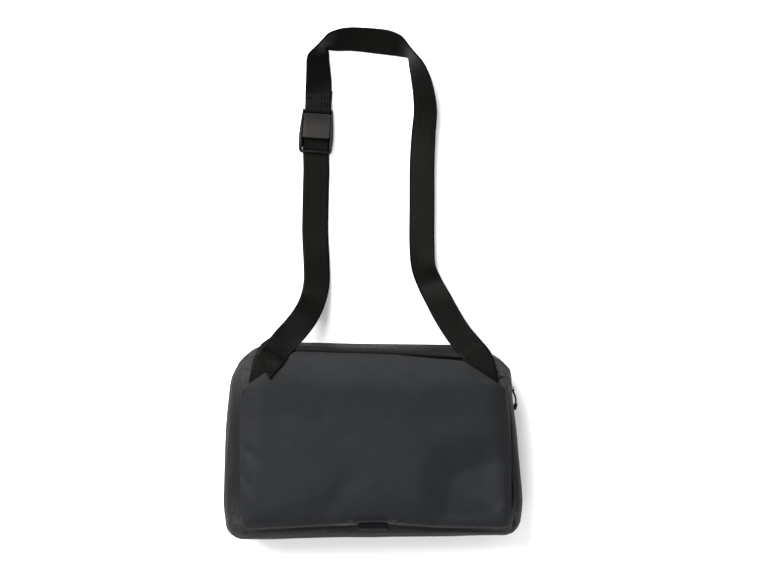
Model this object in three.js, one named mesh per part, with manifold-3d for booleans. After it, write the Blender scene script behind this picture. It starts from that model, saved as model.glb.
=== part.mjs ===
// Handlebar bag lying on its back: a welded fabric bag with a lapped front panel, a zip round its
// top and a webbing shoulder strap with a cam buckle laid out above it.
// Millimetres. +X is the bag's right as seen from its front, +Y its top and +Z out of its front.
// The origin is the middle of its back, on the surface that it lies on.

import * as THREE from "three";
import { mergeVertices } from "three/addons/utils/BufferGeometryUtils.js";
import Module from "manifold-3d";

const wasm = await Module();
wasm.setup();

const { clamp, degToRad, lerp, smoothstep } = THREE.MathUtils;
const ACROSS = new THREE.Vector3(1, 0, 0);
const ALONG = new THREE.Vector3(0, 1, 0);
const UP = new THREE.Vector3(0, 0, 1);

// Driving dimensions

const GAP = 0.3; // between hard pieces that touch
const SEWN_GAP = 0.6; // between cloth pieces that touch
const BEYOND = 300; // reaches past every face of what is cut
const BAR_SIDES = 16;

const BAG = {
  leftBow: { share: 0.03, y: 0, reach: 92 }, // how much wider each side stands, and where
  rightBow: { share: 0.021, y: -45, reach: 75 },
  rightDrop: 0.00018, // share of the height lost for each millimetre to the right
  rise: 0.7, // of its middle above the origin
  wall: 1.8,
  backPanel: 3,
};

// Corners of the bag's outline before it bows and settles, anticlockwise.
const BAG_CORNERS = [
  { corner: "bottom_left", x: -134, y: -89.7, round: 15.5 },
  { corner: "bottom_right", x: 134, y: -89.7, round: 15.5 },
  { corner: "right_low", x: 136.2, y: -58, round: 0 },
  { corner: "top_right", x: 127.5, y: 89.7, round: 30 },
  { corner: "top_left", x: -127.5, y: 89.7, round: 43 },
  { corner: "left_low", x: -136.2, y: -56, round: 0 },
];

// The wall's section from the back edge round to the front, a row for each bend.
const WALL_BENDS = [
  { bend: "back_edge", inset: 8, height: 3.4 },
  { bend: "back_roll", inset: 3.6, height: 12 },
  { bend: "lower_wall", inset: 1, height: 26 },
  { bend: "bulge", inset: 0, height: 41 },
  { bend: "upper_wall", inset: 1.4, height: 55 },
  { bend: "front_roll", inset: 4.4, height: 64.5 },
  { bend: "shoulder", inset: 8.4, height: 70.5 },
  { bend: "front_edge", inset: 13, height: 73.5 },
];
const BULGE_ROW = 3;
const OUTLINE_MESH = { step: 26, arcSteps: 7 };
const WALL_STEPS = 12;
const CURVE_STEPS = 140;

// How far the wall rolls in on each side of the bag, as a share of the section above.
const ROLL_SHARE = { right: 0.62, left: 1.1, top: 0.75, bottom: 0.92 };

const CROWN = { body: 4.6, panel: 7, reach: 45, rings: [0.86, 0.66, 0.44, 0.22], centreY: -3 };

const PANEL = { thickness: 1.8, leastRoll: 9.5, mouthLift: 2.4, liftFrom: 20, liftTo: 58 };
const PANEL_MESH = { step: 12, arcSteps: 4, shares: [1, 0.985, 0.93, 0.84, 0.72, 0.58, 0.42, 0.22] };
const PANEL_CENTRE = { x: 2, y: -4 };

// Corners of the front panel, anticlockwise. The notch lets the bottom tab out of the seam.
const PANEL_CORNERS = [
  { corner: "bottom_left", x: -121.5, y: -80, round: 9 },
  { corner: "left_of_tab", x: -30, y: -75.5, round: 0 },
  { corner: "notch_left", x: -13, y: -74.6, round: 0 },
  { corner: "notch_top_left", x: -13, y: -70.8, round: 0 },
  { corner: "notch_top_right", x: 14.2, y: -70.8, round: 0 },
  { corner: "notch_right", x: 14.2, y: -74.6, round: 0 },
  { corner: "right_of_tab", x: 62, y: -77.8, round: 0 },
  { corner: "bottom_right", x: 127.5, y: -79, round: 9 },
  { corner: "right_side", x: 127.5, y: 0, round: 0 },
  { corner: "right_shoulder", x: 123, y: 50.5, round: 8 },
  { corner: "top_right", x: 84, y: 76, round: 2 },
  { corner: "top_middle", x: 18, y: 81.8, round: 0 },
  { corner: "top_left", x: -71, y: 84.4, round: 2 },
  { corner: "left_shoulder", x: -121, y: 49.5, round: 8 },
  { corner: "left_side", x: -122, y: 0, round: 0 },
];

// Dents and swellings of the front panel: across and along are how far each one spreads.
const PANEL_FOLDS = [
  { fold: "lower_right_valley", x: 61, y: -44, heading: 88, along: 24, across: 8, height: -1.8 },
  { fold: "side_valley", x: 92, y: -13, heading: 22, along: 28, across: 8, height: -1.9 },
  { fold: "lower_right_swell", x: 92, y: -47, heading: 35, along: 30, across: 24, height: 2.2 },
  { fold: "centre_dent", x: -31, y: -48, heading: 55, along: 28, across: 10, height: -1.1 },
  { fold: "left_crease", x: -112, y: -8, heading: -50, along: 16, across: 5, height: -0.9 },
  { fold: "left_corner_crease", x: -116, y: -32, heading: -62, along: 14, across: 4.5, height: -0.9 },
];

const ZIP = {
  low: 20,
  high: 32,
  endY: 40,
  sliderY: 47.4,
  tapeDepth: 1.6, // below the wall's face
  tapeThickness: 1.2,
  coilHalfWidth: 2.2,
  coilRise: 0.7,
};
const SLIDER = { length: 11, width: 8, nose: 0.7, thickness: 2, corner: 1.8, arcSteps: 3 };
const BAIL = { radius: 2.6, wire: 0.6, flatten: 0.85, sides: 8, steps: 16 };
const PULL_CORD = { diameter: 1.3, bend: 4.4, apart: 0.95, sides: 8, steps: 26 };
const PULL_GRIP = {
  length: 6.8,
  radius: 1.9,
  neck: 1.4,
  fullFrom: 2,
  fullTo: 4.4,
  sides: 14,
  top: -13, // along the zip from the slider
  out: 4.1, // from the bag's outline
  lean: 17, // degrees, back towards the bag
};

const WEBBING = { width: 25, thickness: 1.5, edge: 0.4, stepsPerStation: 3 };

const BUCKLE = {
  x: -53.4,
  y: 291.4,
  turn: -4,
  height: 8.2,
  channel: 26.2,
  base: 1.2,
  baseFrom: -12,
  baseTo: 10,
  topBar: { v: 18.6, z: 3.75, radius: 1.5 },
  lowBar: { v: -18.4, z: 4.8, radius: 1.3 },
  barSeat: 0.5, // of each bar's ends in the cheeks
  curveSteps: 3,
};
// Half width of the buckle's frame along its length, a row for each bend of its cheeks.
const BUCKLE_CHEEKS = [
  { v: -20, halfWidth: 13.6 },
  { v: -17.8, halfWidth: 15.4 },
  { v: -9, halfWidth: 16.3 },
  { v: 3, halfWidth: 15.9 },
  { v: 14, halfWidth: 14.9 },
  { v: 21.2, halfWidth: 14.2 },
];
const LEVER = { width: 24.6, pivotV: -3.5, pivotZ: 5.8, cam: 2.4, pin: 1, pinLength: 31, bore: 1.3 };
// Top and underside of the lever's plate along its length.
const LEVER_PLATE = [
  { v: -6.7, under: 7.4, top: 8.1 },
  { v: -5.2, under: 7.5, top: 9.1 },
  { v: 1, under: 7.8, top: 9.5 },
  { v: 9, under: 7.8, top: 9.2 },
  { v: 16.6, under: 7, top: 8 },
];

const BOTTOM_TAB = { fromX: -12.4, toX: 13.6, fromY: -71.3, toY: -79.4, thickness: 3, end: 1.8, rows: 5 };
const BAR_BAND = { length: 150, width: 25, thickness: 1.5, y: 45 };

// Where the webbing runs: its middle lies at a height z, or above the bag's front, and roll tips the
// edge on its left, looking along it, up by so many degrees.
const LONG_STRAP = [
  { x: -51.6, y: 327, z: 3.2, roll: 0 },
  { x: -51.3, y: 338, z: 4.6, roll: 12 },
  { x: -51.6, y: 350, z: 6.6, roll: 24 },
  { x: -51.6, y: 362, z: 8.8, roll: 36 },
  { x: -46.6, y: 371.9, z: 12.8, roll: 74 },
  { x: -40.3, y: 376.2, z: 11.8, roll: 56 },
  { x: -32.8, y: 377.8, z: 9.6, roll: 41 },
  { x: -21.4, y: 378.9, z: 8.1, roll: 33 },
  { x: -10, y: 378.4, z: 7.3, roll: 29 },
  { x: 5.1, y: 377, z: 6.4, roll: 24 },
  { x: 14, y: 375.8, z: 6.9, roll: 26 },
  { x: 25.4, y: 372.2, z: 9.9, roll: 46 },
  { x: 35, y: 365, z: 13, roll: 76 },
  { x: 40.8, y: 354.6, z: 12.8, roll: 60 },
  { x: 45.6, y: 340.4, z: 12.6, roll: 44 },
  { x: 48.6, y: 325.2, z: 12.4, roll: 35 },
  { x: 50, y: 310, z: 9.6, roll: 28 },
  { x: 48.4, y: 290, z: 6.6, roll: 24 },
  { x: 47, y: 262, z: 5.4, roll: 19 },
  { x: 46.8, y: 220, z: 4.8, roll: 17.5 },
  { x: 46.8, y: 182, z: 4.8, roll: 17 },
  { x: 48.4, y: 162, z: 5.4, roll: 20 },
  { x: 55, y: 145.6, z: 6, roll: 13 },
  { x: 62.6, y: 131, z: 15, roll: 8 },
  { x: 71, y: 115, z: 33, roll: -4 },
  { x: 80, y: 100.4, z: 53, roll: -18 },
  { x: 90, y: 88, z: 69.4, roll: -20 },
  { x: 98.4, y: 77.4, above: 1.1, roll: -8 },
  { x: 101.8, y: 66, above: 1.4, roll: -4 },
  { x: 103.2, y: 54, above: 1.3, roll: -4 },
];
const SHORT_STRAP = [
  { x: -53.6, y: 255, z: 1.5, roll: 0 },
  { x: -54.4, y: 222, z: 1.4, roll: 0 },
  { x: -54.7, y: 194, z: 2, roll: -4 },
  { x: -53.4, y: 168, z: 4.6, roll: -14 },
  { x: -53.2, y: 148, z: 7, roll: -16 },
  { x: -56, y: 133, z: 13, roll: 6 },
  { x: -61.8, y: 119, z: 26, roll: 0 },
  { x: -70.6, y: 106, z: 46, roll: 4 },
  { x: -81, y: 94, z: 66, roll: 24 },
  { x: -90.4, y: 81.6, above: 8, roll: 10 },
  { x: -100.6, y: 69.4, above: 8.8, roll: 4 },
];
const STRAP_TAB = [
  { x: -101.6, y: 47, above: 1.3, roll: -7 },
  { x: -100.8, y: 56, above: 1.3, roll: -7 },
  { x: -98.6, y: 67, above: 1.3, roll: -6 },
  { x: -95.8, y: 78, above: 1.6, roll: -8 },
  { x: -92.8, y: 86.6, z: 72.6, roll: -14 },
];
// The long strap's fold round the buckle's top bar, and the short strap's places along the buckle.
const WRAP = { tails: [21, 14, 7], tailHeight: 1.2, radius: 2.55, steps: 6, lead: { v: 6, z: 2.2 } };
const HELD_PLACES = [5, -4, -12, -20, -26];

const COLOURS = {
  fabric: 0x3a3c3e,
  panel: 0x36383b,
  webbing: 0x1d1c1a,
  metal: 0x46433f,
  plastic: 0x141414,
};

// Solids

// A geometry over the given points and faces, turned so that its faces point out.
function closedGeometry(points, faces) {
  let volume = 0;
  for (let i = 0; i < faces.length; i += 3) {
    const [a, b, c] = [points[faces[i]], points[faces[i + 1]], points[faces[i + 2]]];
    volume += a.dot(b.clone().cross(c));
  }
  const geometry = new THREE.BufferGeometry().setFromPoints(points);
  return geometry.setIndex(volume > 0 ? faces : faces.reverse());
}

// A closed skin over rings of equal length, drawn to a point at each end.
function skin(firstPoint, rings, lastPoint) {
  const count = rings[0].length;
  const points = [firstPoint, ...rings.flat(), lastPoint];
  const at = (ring, i) => 1 + ring * count + (i % count);
  const faces = [];
  for (let i = 0; i < count; i++) {
    faces.push(0, at(0, i + 1), at(0, i));
    for (let ring = 0; ring + 1 < rings.length; ring++) {
      faces.push(at(ring, i), at(ring, i + 1), at(ring + 1, i + 1));
      faces.push(at(ring, i), at(ring + 1, i + 1), at(ring + 1, i));
    }
    faces.push(points.length - 1, at(rings.length - 1, i), at(rings.length - 1, i + 1));
  }
  return closedGeometry(points, faces);
}

function middle(points) {
  return points.reduce((sum, p) => sum.add(p), new THREE.Vector3()).divideScalar(points.length);
}

function toSolid(geometry) {
  const bare = geometry.clone();
  bare.deleteAttribute("normal");
  bare.deleteAttribute("uv");
  const merged = mergeVertices(bare, 1e-4);
  return new wasm.Manifold(
    new wasm.Mesh({
      numProp: 3,
      vertProperties: merged.attributes.position.array,
      triVerts: new Uint32Array(merged.index.array),
    }),
  );
}

function toGeometry(solid) {
  const mesh = solid.getMesh();
  return new THREE.BufferGeometry()
    .setAttribute("position", new THREE.BufferAttribute(mesh.vertProperties, 3))
    .setIndex(new THREE.BufferAttribute(mesh.triVerts, 1));
}

function boxSolid(low, high) {
  const size = high.map((value, i) => value - low[i]);
  const box = new THREE.BoxGeometry(...size);
  return toSolid(box.translate(...low.map((value, i) => value + size[i] / 2)));
}

// A round bar of the given length across the width of the buckle, or through its cheeks.
function barSolid(radius, length, v, z) {
  const bar = new THREE.CylinderGeometry(radius, radius, length, BAR_SIDES).rotateZ(Math.PI / 2);
  return toSolid(bar.translate(0, v, z));
}

// The bag's outline and its surface

// Points along a polygon of corners whose rounds are drawn as arcs, no further apart than step.
function roundedPath(corners, step, arcSteps) {
  const path = [];
  corners.forEach((corner, i) => {
    const here = new THREE.Vector2(corner.x, corner.y);
    const before = corners.at(i - 1);
    const after = corners[(i + 1) % corners.length];
    const back = new THREE.Vector2(before.x, before.y).sub(here).normalize();
    const ahead = new THREE.Vector2(after.x, after.y).sub(here).normalize();
    const half = Math.acos(clamp(back.dot(ahead), -1, 1)) / 2;
    const reach = corner.round / Math.tan(half);
    const start = here.clone().addScaledVector(back, reach);
    const end = here.clone().addScaledVector(ahead, reach);
    if (path.length) addStraight(path, start, step);
    if (!corner.round) {
      path.push(here);
      return;
    }
    const inward = back.clone().add(ahead).normalize();
    const centre = here.clone().addScaledVector(inward, corner.round / Math.sin(half));
    const from = Math.atan2(start.y - centre.y, start.x - centre.x);
    const sweep = Math.PI - 2 * half;
    for (let k = 0; k < arcSteps; k++) {
      const angle = from + (sweep * k) / arcSteps;
      const spoke = new THREE.Vector2(Math.cos(angle), Math.sin(angle));
      path.push(centre.clone().addScaledVector(spoke, corner.round));
    }
    path.push(end);
  });
  addStraight(path, path[0], step);
  return path;
}

// Points between a path's end and the next place, without either of them.
function addStraight(path, place, step) {
  const from = path.at(-1);
  const parts = Math.ceil(from.distanceTo(place) / step - 1e-6);
  for (let k = 1; k < parts; k++) path.push(from.clone().lerp(place, k / parts));
}

// The bag is a little bowed at its sides and lower on its right.
function settle({ x, y }) {
  const bow = x > 0 ? BAG.rightBow : BAG.leftBow;
  const swell = bow.share * Math.max(0, 1 - ((y - bow.y) / bow.reach) ** 2);
  return new THREE.Vector2(x * (1 + swell), BAG.rise + y * (1 - BAG.rightDrop * x));
}

const OUTLINE = roundedPath(BAG_CORNERS, OUTLINE_MESH.step, OUTLINE_MESH.arcSteps).map(settle);

const OUTLINE_NORMALS = OUTLINE.map((_, i) => {
  const along = OUTLINE[(i + 1) % OUTLINE.length].clone().sub(OUTLINE.at(i - 1)).normalize();
  return new THREE.Vector2(along.y, -along.x);
});

function rollShare(normal) {
  const sideways = normal.x > 0 ? ROLL_SHARE.right : ROLL_SHARE.left;
  const upright = normal.y > 0 ? ROLL_SHARE.top : ROLL_SHARE.bottom;
  return lerp(upright, sideways, normal.x ** 2);
}

// A place at one height, drawn in from the outline by a share of the wall's section and by a depth.
function drawnIn({ place, normal }, inset, height, depth = 0) {
  const p = place.clone().addScaledVector(normal, -inset * rollShare(normal) - depth);
  return new THREE.Vector3(p.x, p.y, height);
}

function ringAt(inset, height, depth) {
  return OUTLINE.map((place, i) => drawnIn({ place, normal: OUTLINE_NORMALS[i] }, inset, height, depth));
}

// How far a point lies inside the outline, in the units of the wall's section.
function rollAt(x, y) {
  const point = new THREE.Vector2(x, y);
  let nearest = Infinity;
  let roll = 0;
  OUTLINE.forEach((from, i) => {
    const to = OUTLINE[(i + 1) % OUTLINE.length];
    const along = to.clone().sub(from);
    const share = clamp(point.clone().sub(from).dot(along) / along.lengthSq(), 0, 1);
    const away = point.clone().sub(from.clone().addScaledVector(along, share));
    if (away.length() >= nearest) return;
    nearest = away.length();
    const normal = OUTLINE_NORMALS[i].clone().lerp(OUTLINE_NORMALS[(i + 1) % OUTLINE.length], share);
    roll = -Math.sign(away.dot(normal)) * (nearest / rollShare(normal.normalize()));
  });
  return roll;
}

const WALL_POINTS = WALL_BENDS.map(({ inset, height }) => new THREE.Vector2(inset, height));
const WALL_CURVE = new THREE.SplineCurve(WALL_POINTS);
const WALL_LINE = WALL_CURVE.getPoints(CURVE_STEPS);
const FRONT_LINE = WALL_LINE.slice(WALL_LINE.findIndex((p) => p.y >= WALL_BENDS[BULGE_ROW].height));

// The value of one axis of a line where the other has a given value.
function readLine(line, known, wanted, value) {
  const next = line.findIndex((p) => p[known] > value);
  if (next < 0) return line.at(-1)[wanted];
  if (next === 0) return line[0][wanted];
  const [a, b] = [line[next - 1], line[next]];
  return lerp(a[wanted], b[wanted], (value - a[known]) / (b[known] - a[known]));
}

// Height of the front side of the wall, by how far it has rolled in, and the wall's inset at a height.
const edgeHeight = (roll) => readLine(FRONT_LINE, "x", "y", roll);
const wallInset = (height) => readLine(WALL_LINE, "y", "x", height);

function frontHeight(x, y, crown = CROWN.body, leastRoll = 0) {
  const roll = Math.max(rollAt(x, y), leastRoll);
  const swell = clamp((roll - WALL_BENDS.at(-1).inset) / CROWN.reach, 0, 1);
  return edgeHeight(roll) + crown * (1 - (1 - swell) ** 2);
}

function foldHeight(x, y) {
  return PANEL_FOLDS.reduce((sum, fold) => {
    const heading = degToRad(fold.heading);
    const [dx, dy] = [x - fold.x, y - fold.y];
    const along = (dx * Math.cos(heading) + dy * Math.sin(heading)) / fold.along;
    const across = (dy * Math.cos(heading) - dx * Math.sin(heading)) / fold.across;
    return sum + fold.height * Math.exp(-(along ** 2) - across ** 2);
  }, 0);
}

// Pieces of the bag

// Walls, bottom, top and inner front in one welded shell, open at the back and slit for the zip.
function bodyShell() {
  const wall = WALL_CURVE.getPoints(WALL_STEPS);
  const outer = wall.map((p) => ringAt(p.x, p.y));
  const inner = wall.map((p, i) => {
    const along = WALL_CURVE.getTangent(i / WALL_STEPS);
    return ringAt(p.x, p.y - along.x * BAG.wall, along.y * BAG.wall);
  });
  const crownRing = (share, drop) =>
    outer.at(-1).map((p) => {
      const x = p.x * share;
      const y = lerp(CROWN.centreY, p.y, share);
      return new THREE.Vector3(x, y, frontHeight(x, y) - drop);
    });
  const crown = CROWN.rings.map((share) => crownRing(share, 0));
  const crownInside = CROWN.rings.map((share) => crownRing(share, BAG.wall));
  const rings = [...crown.reverse(), ...outer.reverse(), ...inner, ...crownInside];
  const top = frontHeight(0, CROWN.centreY);
  const shell = skin(
    new THREE.Vector3(0, CROWN.centreY, top),
    rings,
    new THREE.Vector3(0, CROWN.centreY, top - BAG.wall),
  );
  const slit = boxSolid([-BEYOND, ZIP.endY, ZIP.low], [BEYOND, BEYOND, ZIP.high]);
  return toGeometry(toSolid(shell).subtract(slit));
}

function frontPanel() {
  const edge = roundedPath(PANEL_CORNERS, PANEL_MESH.step, PANEL_MESH.arcSteps);
  const place = (p, share, drop) => {
    const x = lerp(PANEL_CENTRE.x, p.x, share);
    const y = lerp(PANEL_CENTRE.y, p.y, share);
    const lift = SEWN_GAP + PANEL.mouthLift * smoothstep(y, PANEL.liftFrom, PANEL.liftTo);
    const height = frontHeight(x, y, CROWN.panel, PANEL.leastRoll) + lift + foldHeight(x, y);
    return new THREE.Vector3(x, y, height + PANEL.thickness - drop);
  };
  const face = (drop) => PANEL_MESH.shares.map((share) => edge.map((p) => place(p, share, drop)));
  const rings = [...face(0).reverse(), ...face(PANEL.thickness)];
  return skin(place(PANEL_CENTRE, 0, 0), rings, place(PANEL_CENTRE, 0, PANEL.thickness));
}

// A flat padded panel, with a shallow seat for the webbing band sewn across it.
function backPanel() {
  const low = ringAt(WALL_BENDS[0].inset - BAG.wall, 0);
  const high = low.map((p) => p.clone().setZ(BAG.backPanel));
  const panel = skin(new THREE.Vector3(), [low, high], new THREE.Vector3(0, 0, BAG.backPanel));
  const halfLength = BAR_BAND.length / 2 + SEWN_GAP;
  const halfWidth = BAR_BAND.width / 2 + SEWN_GAP;
  const seat = boxSolid(
    [-halfLength, BAR_BAND.y - halfWidth, -BEYOND],
    [halfLength, BAR_BAND.y + halfWidth, BAR_BAND.thickness + GAP],
  );
  return toGeometry(toSolid(panel).subtract(seat));
}

function barBand() {
  const band = new THREE.BoxGeometry(BAR_BAND.length, BAR_BAND.width, BAR_BAND.thickness);
  return band.translate(0, BAR_BAND.y, BAR_BAND.thickness / 2);
}

// The stretch of the outline above one height of the bag, from its right side round to its left.
function outlineAbove(y) {
  const count = OUTLINE.length;
  const isFirst = (p, i) => p.y > y && OUTLINE.at(i - 1).y <= y;
  const spot = (i) => ({ place: OUTLINE[i % count], normal: OUTLINE_NORMALS[i % count] });
  const stretch = [];
  const first = OUTLINE.findIndex(isFirst) + count;
  let next = first;
  while (spot(next).place.y > y) {
    stretch.push(spot(next));
    next += 1;
  }
  const crossing = (a, b) => {
    const share = (y - a.place.y) / (b.place.y - a.place.y);
    return {
      place: a.place.clone().lerp(b.place, share),
      normal: a.normal.clone().lerp(b.normal, share).normalize(),
    };
  };
  return [crossing(spot(first - 1), stretch[0]), ...stretch, crossing(spot(next), stretch.at(-1))];
}

const ZIP_HEIGHT = (ZIP.low + ZIP.high) / 2;

// Tape and coil of the closed zip, in the slit that runs round the top of the bag.
function zipTape() {
  const { tapeDepth, coilRise, coilHalfWidth } = ZIP;
  const [low, high] = [ZIP.low + GAP, ZIP.high - GAP];
  const under = tapeDepth + ZIP.tapeThickness;
  const section = [
    { depth: tapeDepth, height: low },
    { depth: tapeDepth, height: ZIP_HEIGHT - coilHalfWidth },
    { depth: tapeDepth - coilRise, height: ZIP_HEIGHT - coilHalfWidth / 2 },
    { depth: tapeDepth - coilRise, height: ZIP_HEIGHT + coilHalfWidth / 2 },
    { depth: tapeDepth, height: ZIP_HEIGHT + coilHalfWidth },
    { depth: tapeDepth, height: high },
    { depth: under, height: high },
    { depth: under, height: low },
  ];
  const rings = outlineAbove(ZIP.endY + SEWN_GAP).map((spot) =>
    section.map(({ depth, height }) => drawnIn(spot, wallInset(height), height, depth)),
  );
  return skin(middle(rings[0]), rings, middle(rings.at(-1)));
}

// The zip pull's own frame on the right wall: along the zip, up, and out from the bag's outline.
const PULL_SPOT = outlineAbove(ZIP.sliderY)[0];
const PULL_OUT = new THREE.Vector3(PULL_SPOT.normal.x, PULL_SPOT.normal.y, 0);
const PULL_FRAME = new THREE.Matrix4()
  .makeBasis(UP.clone().cross(PULL_OUT), UP, PULL_OUT)
  .setPosition(PULL_SPOT.place.x, PULL_SPOT.place.y, ZIP_HEIGHT);
const COIL_OUT = ZIP.coilRise - ZIP.tapeDepth - wallInset(ZIP_HEIGHT) * rollShare(PULL_SPOT.normal);
const SLIDER_FOOT = COIL_OUT + GAP;
const SLIDER_TOP = SLIDER_FOOT + SLIDER.thickness;

function zipSlider() {
  const [length, width] = [SLIDER.length / 2, SLIDER.width / 2];
  const corners = [
    { x: -length, y: -width * SLIDER.nose },
    { x: length, y: -width },
    { x: length, y: width },
    { x: -length, y: width * SLIDER.nose },
  ].map((corner) => ({ ...corner, round: SLIDER.corner }));
  const plan = new THREE.Shape(roundedPath(corners, SLIDER.length, SLIDER.arcSteps));
  const body = new THREE.ExtrudeGeometry(plan, { depth: SLIDER.thickness, bevelEnabled: false });
  const bail = new THREE.TorusGeometry(BAIL.radius, BAIL.wire, BAIL.sides, BAIL.steps)
    .rotateX(Math.PI / 2)
    .scale(1, 1, BAIL.flatten);
  const above = boxSolid([-length, -width, -SLIDER.thickness / 2], [length, width, SLIDER.length]);
  const arch = toGeometry(toSolid(bail).intersect(above)).translate(0, 0, SLIDER_TOP);
  const solid = toSolid(body.translate(0, 0, SLIDER_FOOT)).add(toSolid(arch));
  return toGeometry(solid).applyMatrix4(PULL_FRAME);
}

// Places of the pull cord's loop, from the grip up through the slider's bail and back to the grip.
function pullRoute() {
  const { bend, apart } = PULL_CORD;
  const { top, out } = PULL_GRIP;
  const eyeOut = SLIDER_TOP + (BAIL.flatten * (BAIL.radius - BAIL.wire)) / 2;
  const strand = (side) => [
    new THREE.Vector3(top + GAP, side * apart, out),
    new THREE.Vector3((top - bend) / 2, side * (bend + apart) / 2, out),
    new THREE.Vector3(-bend, side * bend, (out + eyeOut) / 2),
  ];
  return [...strand(1), new THREE.Vector3(0, 0, eyeOut), ...strand(-1).reverse()];
}

function pullCord() {
  const path = new THREE.CatmullRomCurve3(pullRoute().map((p) => p.applyMatrix4(PULL_FRAME)));
  const section = new THREE.Shape().absarc(0, 0, PULL_CORD.diameter / 2, 0, 2 * Math.PI);
  return new THREE.ExtrudeGeometry(section, {
    steps: PULL_CORD.steps,
    curveSegments: PULL_CORD.sides / 2,
    extrudePath: path,
  });
}

function pullGrip() {
  const { length, radius, neck, fullFrom, fullTo, sides, top, out, lean } = PULL_GRIP;
  const profile = [
    new THREE.Vector2(0, 0),
    new THREE.Vector2(neck, 0),
    new THREE.Vector2(radius, fullFrom),
    new THREE.Vector2(radius, fullTo),
    new THREE.Vector2(neck, length),
    new THREE.Vector2(0, length),
  ];
  const grip = new THREE.LatheGeometry(profile, sides).rotateZ(Math.PI / 2).rotateY(degToRad(-lean));
  return grip.translate(top, 0, out).applyMatrix4(PULL_FRAME);
}

// A doubled tab of webbing that comes out of the panel's bottom seam and lies on the roll below.
function bottomTab() {
  const { fromX, toX, fromY, toY, thickness, end, rows } = BOTTOM_TAB;
  const across = [fromX, (fromX + toX) / 2, toX];
  const rings = [];
  for (let i = 0; i <= rows; i++) {
    const y = lerp(fromY, toY, i / rows);
    const foot = Math.max(...across.map((x) => frontHeight(x, y))) + SEWN_GAP;
    const thick = i === rows ? end : thickness;
    rings.push([
      new THREE.Vector3(fromX, y, foot),
      new THREE.Vector3(toX, y, foot),
      new THREE.Vector3(toX, y, foot + thick),
      new THREE.Vector3(fromX, y, foot + thick),
    ]);
  }
  return skin(middle(rings[0]), rings, middle(rings.at(-1)));
}

// Webbing

// Places along a run of webbing: a point, and the direction of its outer edge.
function runOf(stations) {
  const height = ({ x, y, z, above }) => z ?? frontHeight(x, y) + above;
  const points = stations.map((station) => new THREE.Vector3(station.x, station.y, height(station)));
  const path = new THREE.CatmullRomCurve3(points);
  const rolls = new THREE.SplineCurve(stations.map(({ roll }, i) => new THREE.Vector2(i, roll)));
  const steps = (stations.length - 1) * WEBBING.stepsPerStation;
  return Array.from({ length: steps + 1 }, (_, i) => {
    const along = path.getTangent(i / steps);
    const side = UP.clone().cross(along).normalize();
    side.applyAxisAngle(along, degToRad(rolls.getPoint(i / steps).y));
    return { point: path.getPoint(i / steps), side };
  });
}

// A solid band of webbing through the given places, with its long edges eased.
function webbing(places) {
  const [half, thick, edge] = [WEBBING.width / 2, WEBBING.thickness / 2, WEBBING.edge];
  const section = [
    [half, thick - edge],
    [half - edge, thick],
    [edge - half, thick],
    [-half, thick - edge],
    [-half, edge - thick],
    [edge - half, -thick],
    [half - edge, -thick],
    [half, edge - thick],
  ];
  const rings = places.map(({ point, side }, i) => {
    const before = places[Math.max(i - 1, 0)].point;
    const after = places[Math.min(i + 1, places.length - 1)].point;
    const normal = after.clone().sub(before).normalize().cross(side).normalize();
    return section.map(([across, up]) =>
      point.clone().addScaledVector(side, across).addScaledVector(normal, up),
    );
  });
  return skin(places[0].point, rings, places.at(-1).point);
}

const BUCKLE_FRAME = new THREE.Matrix4()
  .makeRotationZ(degToRad(BUCKLE.turn))
  .setPosition(BUCKLE.x, BUCKLE.y, 0);
const BUCKLE_LEFT = ACROSS.clone().negate().transformDirection(BUCKLE_FRAME);

function atBuckle(v, z) {
  return { point: new THREE.Vector3(0, v, z).applyMatrix4(BUCKLE_FRAME), side: BUCKLE_LEFT };
}

// The long strap is folded round the buckle's top bar and sewn back on itself.
function longStrap() {
  const { v, z } = BUCKLE.topBar;
  const fold = [];
  for (const tail of WRAP.tails) fold.push(atBuckle(v + tail, WRAP.tailHeight));
  for (let i = 0; i <= WRAP.steps; i++) {
    const angle = -Math.PI / 2 - (Math.PI * i) / WRAP.steps;
    fold.push(atBuckle(v + WRAP.radius * Math.cos(angle), z + WRAP.radius * Math.sin(angle)));
  }
  return webbing([...fold, atBuckle(v + WRAP.lead.v, z + WRAP.lead.z), ...runOf(LONG_STRAP)]);
}

// The short strap runs out of the buckle, between its base and its low bar, to the bag's left corner.
function shortStrap() {
  const height = BUCKLE.base + GAP + WEBBING.thickness / 2;
  const held = HELD_PLACES.map((v) => turnedBack(atBuckle(v, height)));
  return webbing([...held, ...runOf(SHORT_STRAP)]);
}

function turnedBack({ point, side }) {
  return { point, side: side.clone().negate() };
}

// Cam buckle, in its own frame: u across the webbing, v along it, z up

// A smooth outline through one row of points and back through another.
function outlineThrough(there, back) {
  const shape = new THREE.Shape();
  shape.moveTo(there[0].x, there[0].y);
  shape.splineThru(there.slice(1));
  shape.lineTo(back[0].x, back[0].y);
  shape.splineThru(back.slice(1));
  return shape;
}

function plainExtrude(shape, depth) {
  return new THREE.ExtrudeGeometry(shape, { depth, bevelEnabled: false, curveSegments: BUCKLE.curveSteps });
}

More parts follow.
